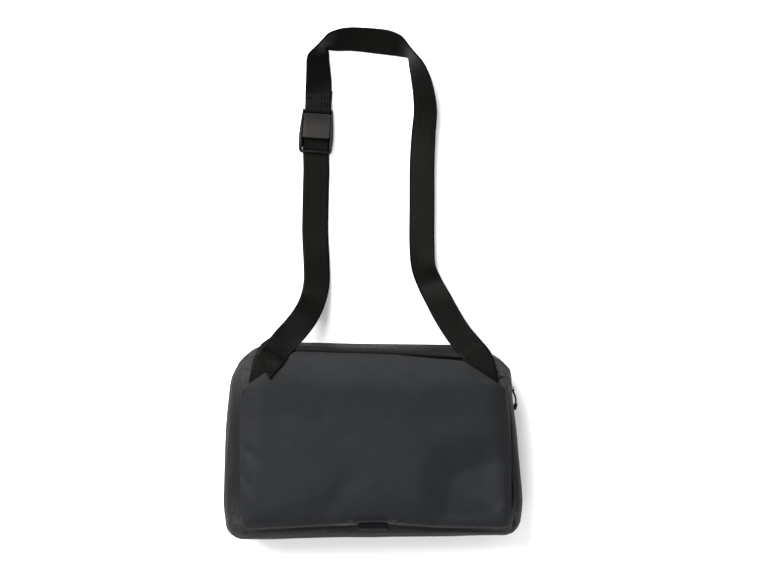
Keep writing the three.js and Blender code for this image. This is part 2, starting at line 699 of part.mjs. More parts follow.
// Two cheeks on a base, open at both ends but for a bar across each.
function buckleFrame() {
  const right = BUCKLE_CHEEKS.map(({ v, halfWidth }) => new THREE.Vector2(halfWidth, v));
  const left = right.map((p) => new THREE.Vector2(-p.x, p.y)).reverse();
  const block = plainExtrude(outlineThrough(right, left), BUCKLE.height);
  const half = BUCKLE.channel / 2;
  const { base, baseFrom, baseTo, topBar, lowBar } = BUCKLE;
  const barLength = BUCKLE.channel + 2 * BUCKLE.barSeat;
  return toGeometry(
    toSolid(block)
      .subtract(boxSolid([-half, -BEYOND, base], [half, BEYOND, BEYOND]))
      .subtract(boxSolid([-half, -BEYOND, -BEYOND], [half, baseFrom, BEYOND]))
      .subtract(boxSolid([-half, baseTo, -BEYOND], [half, BEYOND, BEYOND]))
      .subtract(barSolid(LEVER.pin + GAP, BEYOND, LEVER.pivotV, LEVER.pivotZ))
      .add(barSolid(topBar.radius, barLength, topBar.v, topBar.z))
      .add(barSolid(lowBar.radius, barLength, lowBar.v, lowBar.z)),
  );
}

function bucklePin() {
  return toGeometry(barSolid(LEVER.pin, LEVER.pinLength, LEVER.pivotV, LEVER.pivotZ));
}

// A curved plate over the cam that grips the webbing, both turning on the pin.
function buckleLever() {
  const top = LEVER_PLATE.map((row) => new THREE.Vector2(row.v, row.top));
  const under = LEVER_PLATE.map((row) => new THREE.Vector2(row.v, row.under)).reverse();
  const acrossBuckle = new THREE.Matrix4().makeBasis(ALONG, UP, ACROSS);
  const plate = plainExtrude(outlineThrough(top, under), LEVER.width)
    .applyMatrix4(acrossBuckle)
    .translate(-LEVER.width / 2, 0, 0);
  const { pivotV, pivotZ } = LEVER;
  return toGeometry(
    toSolid(plate)
      .add(barSolid(LEVER.cam, LEVER.width, pivotV, pivotZ))
      .subtract(barSolid(LEVER.bore, BEYOND, pivotV, pivotZ)),
  );
}

// Assembly

function material(color, roughness, metalness = 0) {
  return new THREE.MeshStandardMaterial({ color, roughness, metalness });
}

const FABRIC = material(COLOURS.fabric, 0.62);
const PANEL_FABRIC = material(COLOURS.panel, 0.66);
const WEAVE = material(COLOURS.webbing, 0.85);
const METAL = material(COLOURS.metal, 0.4, 0.85);
const PLASTIC = material(COLOURS.plastic, 0.5);

function piece(name, geometry, finish) {
  const mesh = new THREE.Mesh(geometry, finish);
  mesh.name = name;
  return mesh;
}

const bag = new THREE.Group();
bag.add(
  piece("body_shell", bodyShell(), FABRIC),
  piece("front_panel", frontPanel(), PANEL_FABRIC),
  piece("back_panel", backPanel(), FABRIC),
  piece("bar_band", barBand(), WEAVE),
  piece("zip_tape", zipTape(), PLASTIC),
  piece("zip_slider", zipSlider(), METAL),
  piece("zip_pull_cord", pullCord(), PLASTIC),
  piece("zip_pull_grip", pullGrip(), PLASTIC),
  piece("bottom_tab", bottomTab(), WEAVE),
);

const strap = new THREE.Group();
strap.add(
  piece("strap_long", longStrap(), WEAVE),
  piece("strap_short", shortStrap(), WEAVE),
  piece("strap_tab", webbing(runOf(STRAP_TAB)), WEAVE),
);

const buckle = new THREE.Group();
buckle.applyMatrix4(BUCKLE_FRAME);
buckle.add(
  piece("buckle_frame", buckleFrame(), METAL),
  piece("buckle_pin", bucklePin(), METAL),
  piece("buckle_lever", buckleLever(), METAL),
);

const handlebarBag = new THREE.Group();
handlebarBag.add(bag, strap, buckle);

export default handlebarBag;
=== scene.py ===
import math
import bpy
import numpy as np
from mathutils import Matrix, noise


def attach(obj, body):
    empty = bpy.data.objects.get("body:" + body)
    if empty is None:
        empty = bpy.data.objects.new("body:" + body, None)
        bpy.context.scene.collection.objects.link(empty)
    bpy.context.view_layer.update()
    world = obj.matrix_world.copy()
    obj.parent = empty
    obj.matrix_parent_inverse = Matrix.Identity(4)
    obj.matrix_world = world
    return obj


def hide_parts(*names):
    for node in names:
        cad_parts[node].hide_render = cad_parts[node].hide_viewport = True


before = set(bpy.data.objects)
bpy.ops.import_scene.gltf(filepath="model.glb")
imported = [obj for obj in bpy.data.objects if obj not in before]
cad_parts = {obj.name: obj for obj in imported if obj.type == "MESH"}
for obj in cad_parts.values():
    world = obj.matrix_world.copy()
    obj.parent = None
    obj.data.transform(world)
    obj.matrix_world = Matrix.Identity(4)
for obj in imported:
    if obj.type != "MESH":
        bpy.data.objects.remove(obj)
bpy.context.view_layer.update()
mm = 0.001  # every size below is in millimetres
up = np.array((0.0, 0.0, 1.0))
print("frame loaded:", len(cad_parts), "nodes")


# Camera, straight above the bag as it lies on its back

cameraSet = {
    "over": (7.0, 145.6),
    "height": 2000.0,
    "pixelsPerMm": 1.05,  # on the floor
    "frameWidth": 760,
    "sensor": 36.0,
}


def addCamera(s):
    data = bpy.data.cameras.new("camera")
    data.sensor_width = s["sensor"]
    data.lens = s["sensor"] * s["height"] * s["pixelsPerMm"] / s["frameWidth"]
    camera = bpy.data.objects.new("camera", data)
    bpy.context.scene.collection.objects.link(camera)
    camera.location = (s["over"][0] * mm, s["over"][1] * mm, s["height"] * mm)
    bpy.context.scene.camera = camera


addCamera(cameraSet)
print("camera set")


# Numbers and curves

def unit(vectors):
    return vectors / np.linalg.norm(vectors, axis=-1, keepdims=True)


def smooth(value, low, high):
    t = np.clip((value - low) / (high - low), 0, 1)
    return t * t * (3 - 2 * t)


def bell(value, middle, width):
    return np.exp(-(((value - middle) / width) ** 2))


def noiseAt(points, *size):  # from -1 to 1, with lumps of the given size along each axis
    flat = points.reshape(-1, 3) / np.array(size)
    return np.array([noise.noise(p) for p in flat]).reshape(points.shape[:-1])


def cubicBetween(a, b, leaving, arriving, f):
    cubic = 2 * a - 2 * b + leaving + arriving
    square = -3 * a + 3 * b - 2 * leaving - arriving
    return ((cubic * f + square) * f + leaving) * f + a


def splineAt(rows, t):  # even curve through rows of values, t counted in rows
    rows = np.asarray(rows, float)
    last = len(rows) - 1
    i = np.clip(np.floor(t).astype(int), 0, last - 1)
    f = (t - i)[:, None]
    a, b = rows[i], rows[i + 1]
    leaving = 0.5 * (b - rows[np.maximum(i - 1, 0)])
    arriving = 0.5 * (rows[np.minimum(i + 2, last)] - a)
    return cubicBetween(a, b, leaving, arriving, f)


def splineThrough(rows, count):  # that many places along the curve
    return splineAt(rows, np.linspace(0, len(rows) - 1, count))


def routeAt(places, t):  # curve through places in space, with knots by the root of their distance
    places = np.asarray(places, float)
    ends = 2 * places[0] - places[1], 2 * places[-1] - places[-2]
    p = np.vstack((ends[0], places, ends[1]))
    i = np.clip(np.floor(t).astype(int), 0, len(places) - 2)
    f = (t - i)[:, None]
    knot = np.sqrt(np.linalg.norm(np.diff(p, axis=0), axis=1))[:, None]
    k0, k1, k2 = knot[i], knot[i + 1], knot[i + 2]
    p0, a, b, p3 = p[i], p[i + 1], p[i + 2], p[i + 3]
    leaving = ((a - p0) / k0 - (b - p0) / (k0 + k1) + (b - a) / k1) * k1
    arriving = ((b - a) / k1 - (p3 - a) / (k1 + k2) + (p3 - b) / k2) * k1
    return cubicBetween(a, b, leaving, arriving, f)


def lengthsAlong(points):
    return np.concatenate(([0.0], np.cumsum(np.linalg.norm(np.diff(points, axis=0), axis=1))))


def readAt(where, known, values):  # rows of values read at places along known lengths
    return np.column_stack([np.interp(where, known, column) for column in values.T])


def straight(start, end, step):  # points between two places, without either
    parts = max(1, math.ceil(np.linalg.norm(end - start) / step))
    return [start + (end - start) * k / parts for k in range(1, parts)]


def roundedPath(corners, step):  # closed path round corners of x, y and radius
    path = []
    for i, (x, y, radius) in enumerate(corners):
        here = np.array((x, y))
        back = unit(np.array(corners[i - 1][:2]) - here)
        ahead = unit(np.array(corners[(i + 1) % len(corners)][:2]) - here)
        half = math.acos(np.clip(back @ ahead, -1, 1)) / 2
        reach = radius / math.tan(half)
        start = here + back * reach
        if path:
            path += straight(path[-1], start, step)
        if radius == 0:
            path.append(here)
            continue
        centre = here + unit(back + ahead) * radius / math.sin(half)
        first = math.atan2(*(start - centre)[::-1])
        sweep = math.pi - 2 * half
        parts = max(4, math.ceil(radius * sweep / step))
        for angle in first + sweep * np.arange(parts + 1) / parts:
            path.append(centre + radius * np.array((math.cos(angle), math.sin(angle))))
    path += straight(path[-1], path[0], step)
    return np.array(path)


# Meshes

def addMesh(name, points, faces, finish, slot, node=None, body="bag", attributes=None):
    mesh = bpy.data.meshes.new(name)
    mesh.from_pydata((points * mm).tolist(), [], faces)
    for label, values in (attributes or {}).items():
        kind, field = ("FLOAT_VECTOR", "vector") if values.ndim == 2 else ("FLOAT", "value")
        layer = mesh.attributes.new(label, kind, "POINT")
        layer.data.foreach_set(field, values.astype(np.float32).ravel())
    mesh.shade_smooth()
    mesh.materials.append(finish)
    piece = bpy.data.objects.new(name, mesh)
    bpy.context.scene.collection.objects.link(piece)
    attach(piece, body)
    if node:
        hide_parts(node)
    return piece


def facingOut(points, quads, ends=()):  # faces in the order that makes the skin look outwards
    a, b, c, d = points[quads].transpose(1, 0, 2)
    volume = (a * np.cross(b, c)).sum() + (a * np.cross(c, d)).sum()
    faces = quads.tolist() + [face for end in ends for face in end.tolist()]
    return faces if volume > 0 else [face[::-1] for face in faces]


def loft(rings):  # points and faces of a closed skin over rings of equal length
    rows, count = rings.shape[:2]
    points = np.vstack((rings[0].mean(0), rings.reshape(-1, 3), rings[-1].mean(0)))
    index = 1 + np.arange(rows * count).reshape(rows, count)
    after = np.roll(index, -1, axis=1)
    quads = np.stack((index[:-1], after[:-1], after[1:], index[1:]), axis=-1).reshape(-1, 4)
    first = np.column_stack((np.zeros(count, int), after[0], index[0]))
    last = np.column_stack((np.full(count, len(points) - 1), index[-1], after[-1]))
    return points, facingOut(points, quads, (first, last))


def hoop(rings):  # points and faces of a tube whose last ring meets its first
    points = rings.reshape(-1, 3)
    index = np.arange(len(points)).reshape(rings.shape[:2])
    ahead = np.roll(index, -1, axis=0)
    after, across = np.roll(index, -1, axis=1), np.roll(ahead, -1, axis=1)
    quads = np.stack((index, after, across, ahead), axis=-1).reshape(-1, 4)
    return points, facingOut(points, quads)


def loftValues(values):  # values given on a loft's rings, with its two end points
    flat = values.reshape(-1, *values.shape[2:])
    return np.concatenate((values[:1].mean(1), flat, values[-1:].mean(1)))


def flatThreads(rings):  # thread places for cloth that lies nearly flat
    return np.dstack((rings[..., :2], np.zeros(rings.shape[:2])))


def joined(parts):  # several points and faces as one
    points, faces, shift = [], [], 0
    for somePoints, someFaces in parts:
        points.append(somePoints)
        faces += [[i + shift for i in face] for face in someFaces]
        shift += len(somePoints)
    return np.vstack(points), faces


def sweep(path, radius, sides, outward=None):  # round bar along a path
    along = unit(np.gradient(path, axis=0))
    side = unit(np.cross(along, up if outward is None else outward))
    rise = np.cross(side, along)
    angle = 2 * np.pi * np.arange(sides) / sides
    spokes = np.cos(angle)[None, :, None] * side[:, None] + np.sin(angle)[None, :, None] * rise[:, None]
    return path[:, None] + spokes * np.broadcast_to(radius, len(path))[:, None, None]


# Shader nodes

def setInputs(tree, made, inputs):
    for key, value in inputs.items():
        if isinstance(value, bpy.types.NodeSocket):
            tree.links.new(value, made.inputs[key])
        else:
            made.inputs[key].default_value = value


def wire(tree, kind, inputs=None, **settings):
    made = tree.nodes.new("ShaderNode" + kind)
    for key, value in settings.items():
        setattr(made, key, value)
    setInputs(tree, made, inputs or {})
    return made


def calc(tree, operation, *values):
    return wire(tree, "Math", dict(enumerate(values)), operation=operation).outputs[0]


def blendColours(tree, share, first, second):
    made = wire(tree, "Mix", {0: share, 6: first, 7: second}, data_type="RGBA")
    return made.outputs[2]


def spread(tree, value, low, high, newLow, newHigh):
    inputs = {"Value": value, 1: low, 2: high, 3: newLow, 4: newHigh}
    return wire(tree, "MapRange", inputs, interpolation_type="SMOOTHSTEP").outputs[0]


def newGroup(name, inputs, outputs):
    tree = bpy.data.node_groups.new(name, "ShaderNodeTree")
    for label, kind, value in inputs:
        socket = tree.interface.new_socket(name=label, in_out="INPUT", socket_type="NodeSocket" + kind)
        if value is not None:
            socket.default_value = value
    for label, kind in outputs:
        tree.interface.new_socket(name=label, in_out="OUTPUT", socket_type="NodeSocket" + kind)
    given = tree.nodes.new("NodeGroupInput").outputs
    result = tree.nodes.new("NodeGroupOutput").inputs
    return tree, given, result


def useGroup(tree, group, inputs):
    made = tree.nodes.new("ShaderNodeGroup")
    made.node_tree = group
    setInputs(tree, made, inputs)
    return made.outputs


def makePlainWeave():  # small pillows of thread, one for each crossing
    tree, given, result = newGroup(
        "plain_weave", [("Vector", "Vector", None), ("Pitch", "Float", 0.7)], [("Height", "Float")]
    )
    split = wire(tree, "SeparateXYZ", {0: given["Vector"]}).outputs
    waves = []
    for axis in "XY":
        turn = calc(tree, "DIVIDE", split[axis], given["Pitch"])
        waves.append(calc(tree, "SINE", calc(tree, "MULTIPLY", turn, math.pi)))
    pillow = calc(tree, "ABSOLUTE", calc(tree, "MULTIPLY", *waves))
    tree.links.new(calc(tree, "POWER", pillow, 0.5), result["Height"])
    return tree


def makeWebbingWeave():  # slanting ribs that turn at each column of a flat webbing
    inputs = [("Vector", "Vector", None)]
    inputs += [("Pitch", "Float", 1.5), ("Column", "Float", 3.1), ("Slant", "Float", 0.7)]
    tree, given, result = newGroup("webbing_weave", inputs, [("Height", "Float"), ("Valley", "Float")])
    split = wire(tree, "SeparateXYZ", {0: given["Vector"]}).outputs
    zigzag = calc(tree, "PINGPONG", split["Y"], given["Column"])
    slanted = calc(tree, "ADD", split["X"], calc(tree, "MULTIPLY", zigzag, given["Slant"]))
    turn = calc(tree, "MULTIPLY", calc(tree, "DIVIDE", slanted, given["Pitch"]), math.pi)
    rib = calc(tree, "POWER", calc(tree, "ABSOLUTE", calc(tree, "SINE", turn)), 0.6)
    column = calc(tree, "MULTIPLY", calc(tree, "DIVIDE", split["Y"], given["Column"]), math.pi)
    valley = calc(tree, "POWER", calc(tree, "ABSOLUTE", calc(tree, "SINE", column)), 0.3)
    height = calc(tree, "MULTIPLY", rib, valley)
    tree.links.new(height, result["Height"])
    tree.links.new(calc(tree, "SUBTRACT", 1.0, height), result["Valley"])
    return tree


def makeGrain():  # uneven dye and a fine coated surface
    tree, given, result = newGroup(
        "grain",
        [("Vector", "Vector", None), ("Cloud", "Float", 30.0), ("Fine", "Float", 900.0)],
        [("Cloud", "Float"), ("Fine", "Float")],
    )
    for label, detail in (("Cloud", 4.0), ("Fine", 2.0)):
        inputs = {"Vector": given["Vector"], "Scale": given[label], "Detail": detail, "Roughness": 0.6}
        made = wire(tree, "TexNoise", inputs, noise_dimensions="3D")
        tree.links.new(made.outputs[0], result[label])
    return tree


def facingUp(tree):
    return wire(tree, "SeparateXYZ", {0: wire(tree, "NewGeometry").outputs["Normal"]}).outputs["Z"]


def makeDust():  # pale film on what faces up, in patches
    tree, given, result = newGroup(
        "dust", [("Vector", "Vector", None), ("Amount", "Float", 0.1)], [("Mask", "Float")]
    )
    lying = spread(tree, facingUp(tree), 0.2, 1.0, 0.0, 1.0)
    inputs = {"Vector": given["Vector"], "Scale": 55.0, "Detail": 6.0, "Roughness": 0.7}
    patch = spread(tree, wire(tree, "TexNoise", inputs).outputs[0], 0.35, 0.75, 0.0, 1.0)
    mask = calc(tree, "MULTIPLY", calc(tree, "MULTIPLY", lying, patch), given["Amount"])
    tree.links.new(mask, result["Mask"])
    return tree


def makeEdgeWear():  # rubbed edges, broken up by noise; on the bag's cloth the mask also paints sheen and highlights
    tree, given, result = newGroup(
        "edge_wear",
        [("Vector", "Vector", None), ("Edge", "Float", 0.0), ("Amount", "Float", 0.5)],
        [("Mask", "Float")],
    )
    inputs = {"Vector": given["Vector"], "Scale": 240.0, "Detail": 5.0, "Roughness": 0.65}
    patch = spread(tree, wire(tree, "TexNoise", inputs).outputs[0], 0.3, 0.7, 0.35, 1.0)
    mask = calc(tree, "MULTIPLY", calc(tree, "MULTIPLY", given["Edge"], patch), given["Amount"])
    tree.links.new(mask, result["Mask"])
    return tree


plainWeave = makePlainWeave()
webbingWeave = makeWebbingWeave()
grain = makeGrain()
dust = makeDust()
edgeWear = makeEdgeWear()


def startMaterial(name, s):
    finish = bpy.data.materials.new(name)
    finish.use_nodes = True
    tree = finish.node_tree
    tree.nodes.clear()
    shader = wire(tree, "BsdfPrincipled")
    output = wire(tree, "OutputMaterial")
    tree.links.new(shader.outputs[0], output.inputs[0])
    for label, value in s.get("shader", {}).items():
        shader.inputs[label].default_value = value
    return finish, tree, shader.inputs


def readAttribute(tree, label, output):
    return wire(tree, "Attribute", attribute_name=label).outputs[output]


def startGrain(tree, cloud, fine):  # place in the piece, and the grain there
    place = wire(tree, "TexCoord").outputs["Object"]
    return place, useGroup(tree, grain, {"Vector": place, "Cloud": cloud, "Fine": fine})


def addBump(tree, height, strength, depth, below=None):
    inputs = {"Height": height, "Strength": strength, "Distance": depth * mm}
    if below is not None:
        inputs["Normal"] = below
    return wire(tree, "Bump", inputs).outputs[0]


# Coated cloth of the bag. Colours are linear red, green and blue.

clothSet = {
    "body": {
        "dark": (0.0073, 0.0073, 0.0072, 1),
        "light": (0.0091, 0.0091, 0.009, 1),
        # colour of wear and of painted sheen and highlights
        "worn": (0.05, 0.0495, 0.049, 1),
        "uprightPaintedShade": 0.55,  # painted shade: tone of what stands upright
        "dustColour": (0.05, 0.049, 0.047, 1),
        "dust": 0.05,
        "wear": 0.65,
        "pitch": 0.8,
        "weaveDepth": 0.05,
        "grainDepth": 0.09,
        "rough": (0.5, 0.62),
        "shader": {"Specular IOR Level": 0.03},
    },
    "panel": {
        "dark": (0.0018, 0.0023, 0.0032, 1),
        "light": (0.0027, 0.0032, 0.0043, 1),
        # colour of wear and of painted highlights
        "worn": (0.034, 0.035, 0.036, 1),
        "uprightPaintedShade": 0.9,
        "dustColour": (0.04, 0.041, 0.042, 1),
        "dust": 0.04,
        "wear": 0.6,
        "pitch": 0.7,
        "weaveDepth": 0.05,
        "grainDepth": 0.07,
        "rough": (0.6, 0.7),
        "shader": {"Specular IOR Level": 0.18},
    },
}


def makeCloth(name, s):
    finish, tree, shader = startMaterial(name, s)
    place, uneven = startGrain(tree, 26.0, 700.0)
    threads = readAttribute(tree, "cloth", "Vector")
    weave = useGroup(tree, plainWeave, {"Vector": threads, "Pitch": s["pitch"]})["Height"]
    tone = spread(tree, uneven["Cloud"], 0.25, 0.75, 0.0, 1.0)
    colour = blendColours(tree, tone, s["dark"], s["light"])
    film = useGroup(tree, dust, {"Vector": place, "Amount": s["dust"]})["Mask"]
    colour = blendColours(tree, film, colour, s["dustColour"])
    # wear on the cloth's edges, with painted sheen and highlights on the corners, bottom roll, bottom seam
    # and puckers
    edge = readAttribute(tree, "edge", "Fac")
    rubbed = useGroup(tree, edgeWear, {"Vector": place, "Edge": edge, "Amount": s["wear"]})["Mask"]
    colour = blendColours(tree, rubbed, colour, s["worn"])
    unshadedShare = calc(tree, "SUBTRACT", 1.0, readAttribute(tree, "sunk", "Fac"))  # painted shade in the dips beside the panel
    # painted shade on what stands upright, by how it faces, times the painted shade in the dips
    shade = calc(tree, "MULTIPLY", spread(tree, facingUp(tree), 0.2, 0.9, s["uprightPaintedShade"], 1.0), unshadedShare)
    shaded = wire(tree, "VectorMath", {0: colour, "Scale": shade}, operation="SCALE").outputs[0]
    tree.links.new(shaded, shader["Base Color"])
    tree.links.new(spread(tree, uneven["Fine"], 0.2, 0.8, *s["rough"]), shader["Roughness"])
    skinBump = addBump(tree, uneven["Fine"], 0.5, s["grainDepth"])
    tree.links.new(addBump(tree, weave, 0.5, s["weaveDepth"], skinBump), shader["Normal"])
    return finish


bodyCloth = makeCloth("body_cloth", clothSet["body"])
panelCloth = makeCloth("panel_cloth", clothSet["panel"])

webbingSet = {
    "strap": {
        "dark": (0.0003, 0.0003, 0.0002, 1),
        "light": (0.0009, 0.0008, 0.0006, 1),
        "fuzz": (0.0032, 0.003, 0.0026, 1),
        "pitch": 1.5,
        "column": 3.1,
        "slant": 0.7,
        "depth": 0.1,
        "dust": 0.15,
        "shader": {"Specular IOR Level": 0.05, "Specular Tint": (1, 0.975, 0.92, 1)},
    },
    "tab": {
        "dark": (0.001, 0.0012, 0.0016, 1),
        "light": (0.0024, 0.0028, 0.0035, 1),
        "fuzz": (0.005, 0.0055, 0.0066, 1),
        "pitch": 1.3,
        "column": 2.6,
        "slant": 0.0,
        "depth": 0.2,
        "dust": 0.1,
        "shader": {"Specular IOR Level": 0.05},
    },
    "tape": {
        "dark": (0.0025, 0.0025, 0.0028, 1),
        "light": (0.006, 0.006, 0.0066, 1),
        "fuzz": (0.011, 0.011, 0.012, 1),
        "pitch": 0.8,
        "column": 0.9,
        "slant": 1.0,
        "depth": 0.1,
        "dust": 0.1,
        "shader": {"Specular IOR Level": 0.1},
    },
}


def makeWebbing(name, s):
    finish, tree, shader = startMaterial(name, s)
    place, uneven = startGrain(tree, 40.0, 1400.0)
    threads = readAttribute(tree, "cloth", "Vector")
    inputs = {"Vector": threads, "Pitch": s["pitch"], "Column": s["column"], "Slant": s["slant"]}
    weave = useGroup(tree, webbingWeave, inputs)
    # darker down in the weave's grooves as painted shade, times a random tone
    tone = calc(tree, "MULTIPLY", weave["Height"], spread(tree, uneven["Cloud"], 0.2, 0.8, 0.55, 1.0))
    colour = blendColours(tree, tone, s["dark"], s["light"])
    film = useGroup(tree, dust, {"Vector": place, "Amount": s["dust"]})["Mask"]
    tree.links.new(blendColours(tree, film, colour, s["fuzz"]), shader["Base Color"])
    tree.links.new(spread(tree, weave["Valley"], 0.0, 1.0, 0.44, 0.66), shader["Roughness"])
    fibre = addBump(tree, uneven["Fine"], 0.4, s["depth"] / 3)
    tree.links.new(addBump(tree, weave["Height"], 0.7, s["depth"], fibre), shader["Normal"])
    return finish


strapWebbing = makeWebbing("strap_webbing", webbingSet["strap"])
tabWebbing = makeWebbing("tab_webbing", webbingSet["tab"])
zipTapeWeave = makeWebbing("zip_tape_weave", webbingSet["tape"])

metalSet = {
    "frame": {
        "dark": (0.0034, 0.0032, 0.003, 1),
        "light": (0.0062, 0.0058, 0.0054, 1),
        "bare": (0.5, 0.485, 0.46, 1),
        "rough": (0.36, 0.5),
        "wear": 0.6,
        "shader": {"Metallic": 0.5, "Specular IOR Level": 0.1},
    },
    "lever": {
        "dark": (0.0104, 0.0097, 0.009, 1),
        "light": (0.0132, 0.0123, 0.0114, 1),
        "bare": (0.06, 0.056, 0.052, 1),
        "rough": (0.5, 0.62),
        "wear": 0.25,
        "shader": {"Metallic": 0.35, "Specular IOR Level": 0.1},
    },
}


def makeMetal(name, s):
    finish, tree, shader = startMaterial(name, s)
    place, uneven = startGrain(tree, 160.0, 2200.0)
    tone = spread(tree, uneven["Cloud"], 0.25, 0.75, 0.0, 1.0)
    colour = blendColours(tree, tone, s["dark"], s["light"])
    edge = readAttribute(tree, "edge", "Fac")
    rubbed = useGroup(tree, edgeWear, {"Vector": place, "Edge": edge, "Amount": s["wear"]})["Mask"]
    tree.links.new(blendColours(tree, rubbed, colour, s["bare"]), shader["Base Color"])
    tree.links.new(spread(tree, uneven["Fine"], 0.2, 0.8, *s["rough"]), shader["Roughness"])
    tree.links.new(addBump(tree, uneven["Fine"], 0.35, 0.03), shader["Normal"])
    return finish


frameMetal = makeMetal("buckle_metal", metalSet["frame"])
leverMetal = makeMetal("lever_metal", metalSet["lever"])

mouldedSet = {
    "grip": {
        "dark": (0.0025, 0.0025, 0.0027, 1),
        "light": (0.005, 0.005, 0.0053, 1),
        "scale": (120.0, 1500.0),
        "rough": (0.42, 0.62),
        "depth": 0.05,
        "shader": {"Specular IOR Level": 0.15},
    },
    "cord": {
        "dark": (0.0025, 0.0025, 0.0025, 1),
        "light": (0.006, 0.006, 0.0059, 1),
        "scale": (300.0, 2400.0),
        "rough": (0.7, 0.9),
        "depth": 0.12,
        "shader": {"Specular IOR Level": 0.1},
    },
    "thread": {
        "dark": (0.0004, 0.0004, 0.0003, 1),
        "light": (0.0012, 0.0011, 0.0009, 1),
        "scale": (400.0, 2600.0),
        "rough": (0.55, 0.8),
        "depth": 0.08,
        "shader": {"Specular IOR Level": 0.005},
    },
}


def makeMoulded(name, s):
    finish, tree, shader = startMaterial(name, s)
    uneven = startGrain(tree, *s["scale"])[1]
    tone = spread(tree, uneven["Cloud"], 0.3, 0.7, 0.0, 1.0)
    tree.links.new(blendColours(tree, tone, s["dark"], s["light"]), shader["Base Color"])
    tree.links.new(spread(tree, uneven["Fine"], 0.2, 0.8, *s["rough"]), shader["Roughness"])
    tree.links.new(addBump(tree, uneven["Fine"], 0.5, s["depth"]), shader["Normal"])
    return finish


gripRubber = makeMoulded("grip_rubber", mouldedSet["grip"])
cordBraid = makeMoulded("cord_braid", mouldedSet["cord"])
sewingThread = makeMoulded("sewing_thread", mouldedSet["thread"])
print("finishes made")


# Outline of the bag and its surface

bagSet = {
    # corners x, y and radius, anticlockwise, before the sides bow
    "corners": (
        (-134, -89.7, 15.5), (134, -89.7, 15.5), (136.2, -58, 50),
        (127.5, 89.7, 30), (-127.5, 89.7, 43), (-136.2, -56, 50),
    ),
    "leftBow": (0.03, 0.0, 92.0),  # share of the width, its middle and reach
    "rightBow": (0.024, -38.0, 74.0),
    "rightDrop": 0.00018,
    "cornerDrop": (5.4, 84, 112, 64, 80),  # depth, and where it starts and ends along x and y
    "rise": 0.7,
    "rollRight": 0.62,  # how far each side rolls in
    "rollLeft": 1.1,
    "rollTop": 0.75,
    "rollBottom": 0.92,
    # inset and height of the wall, from the back edge round to the front
    "wall": ((8, 3.4), (3.6, 12), (1, 26), (0, 41), (1.4, 55), (4.4, 64.5), (8.4, 70.5), (13, 73.5)),
    "bulge": 3,  # row of the wall where it is widest
    "front": 13.0,  # inset where the front starts
    "bodyCrown": 4.6,
    "crownReach": 45.0,
    "centre": (0.0, -3.0),
    "step": 1.6,
    "wallThickness": 1.8,
}


def settle(points, s=bagSet):  # bowed sides, and lower on the right
    x, y = points.T
    swell = np.zeros(len(points))
    for side, (share, middle, reach) in ((-1, s["leftBow"]), (1, s["rightBow"])):
        swell += (x * side > 0) * share * np.maximum(0, 1 - ((y - middle) / reach) ** 2)
    depth, fromX, toX, fromY, toY = s["cornerDrop"]
    drop = depth * smooth(x, fromX, toX) * smooth(y, fromY, toY)
    return np.column_stack((x * (1 + swell), s["rise"] + y * (1 - s["rightDrop"] * x) - drop))


def bagOutline(s):  # anticlockwise from the middle of the bottom
    path = settle(roundedPath(s["corners"], s["step"]))
    first = int(np.argmin(np.hypot(path[:, 0], path[:, 1] - s["corners"][0][1])))
    return np.roll(path, -first, axis=0)


def rollShare(normals, s=bagSet):
    sideways = np.where(normals[:, 0] > 0, s["rollRight"], s["rollLeft"])
    upright = np.where(normals[:, 1] > 0, s["rollTop"], s["rollBottom"])
    return upright + (sideways - upright) * normals[:, 0] ** 2


outline = bagOutline(bagSet)
outlineAlong = np.roll(outline, -1, axis=0) - np.roll(outline, 1, axis=0)
outlineNormal = unit(np.column_stack((outlineAlong[:, 1], -outlineAlong[:, 0])))
outlineShare = rollShare(outlineNormal)
outlineLength = lengthsAlong(outline)

wallSteps = np.linspace(0, len(bagSet["wall"]) - 1, 800)
wallLine = splineAt(bagSet["wall"], wallSteps)
frontLine = wallLine[wallSteps >= bagSet["bulge"]]


def inParts(measure, xy, most=3000):  # one measure of many points, a part of them at a time
    return np.concatenate([measure(part) for part in np.array_split(xy, max(1, len(xy) // most))])


def rollAt(xy):  # distance in from the outline, in the units of the wall's insets, smooth at the corners
    half = 5  # half the power of the distances that are summed
    whole = math.sqrt(math.pi) * math.gamma(half - 0.5) / math.gamma(half)
    apart = np.linalg.norm(outlineAlong, axis=1) / 2
    weight = apart * outlineShare ** (2 * half - 1) / whole

    def rolls(part):
        near = 1 / ((part[:, None] - outline) ** 2).sum(axis=2)
        return ((near ** half) @ weight) ** (-1 / (2 * half - 1))

    return inParts(rolls, xy)


def creaseDepth(xy, rows, width):  # soft groove along a line of x, y and depth
    line = splineThrough(rows, 14 * len(rows))
    apart = np.linalg.norm(np.gradient(line[:, :2], axis=0), axis=1)
    weight = line[:, 2] * apart / (width * math.sqrt(math.pi))

    def depths(part):
        near = ((part[:, None] - line[:, :2]) ** 2).sum(axis=2)
        return np.exp(-near / width ** 2) @ weight

    return inParts(depths, xy)


def frontHeight(xy, crown=bagSet["bodyCrown"], leastRoll=0.0, reach=bagSet["crownReach"]):
    roll = np.maximum(rollAt(xy), leastRoll)
    swell = np.clip((roll - bagSet["front"]) / reach, 0, 1)
    return np.interp(roll, *frontLine.T) + crown * (1 - (1 - swell) ** 2)


def wallInset(height):
    return np.interp(height, wallLine[:, 1], wallLine[:, 0])


# Body: walls, top and bottom in one skin with a thickness, sunk along the zip

zipSet = {
    "low": 20.0,  # heights of its two lips
    "high": 32.0,
    "endY": 40.0,
    "sliderY": 47.4,
    "tapeDepth": 1.6,
    "tapeThickness": 1.2,
    "tapeGap": 0.3,  # from each lip
    "tapeShort": 0.6,  # of the channel's end
    "tapeRound": 0.15,
    "slit": (0.35, 0.3),  # depth and half width between the two tapes
    "coilRise": 0.7,
    "coilShort": 1.6,
}

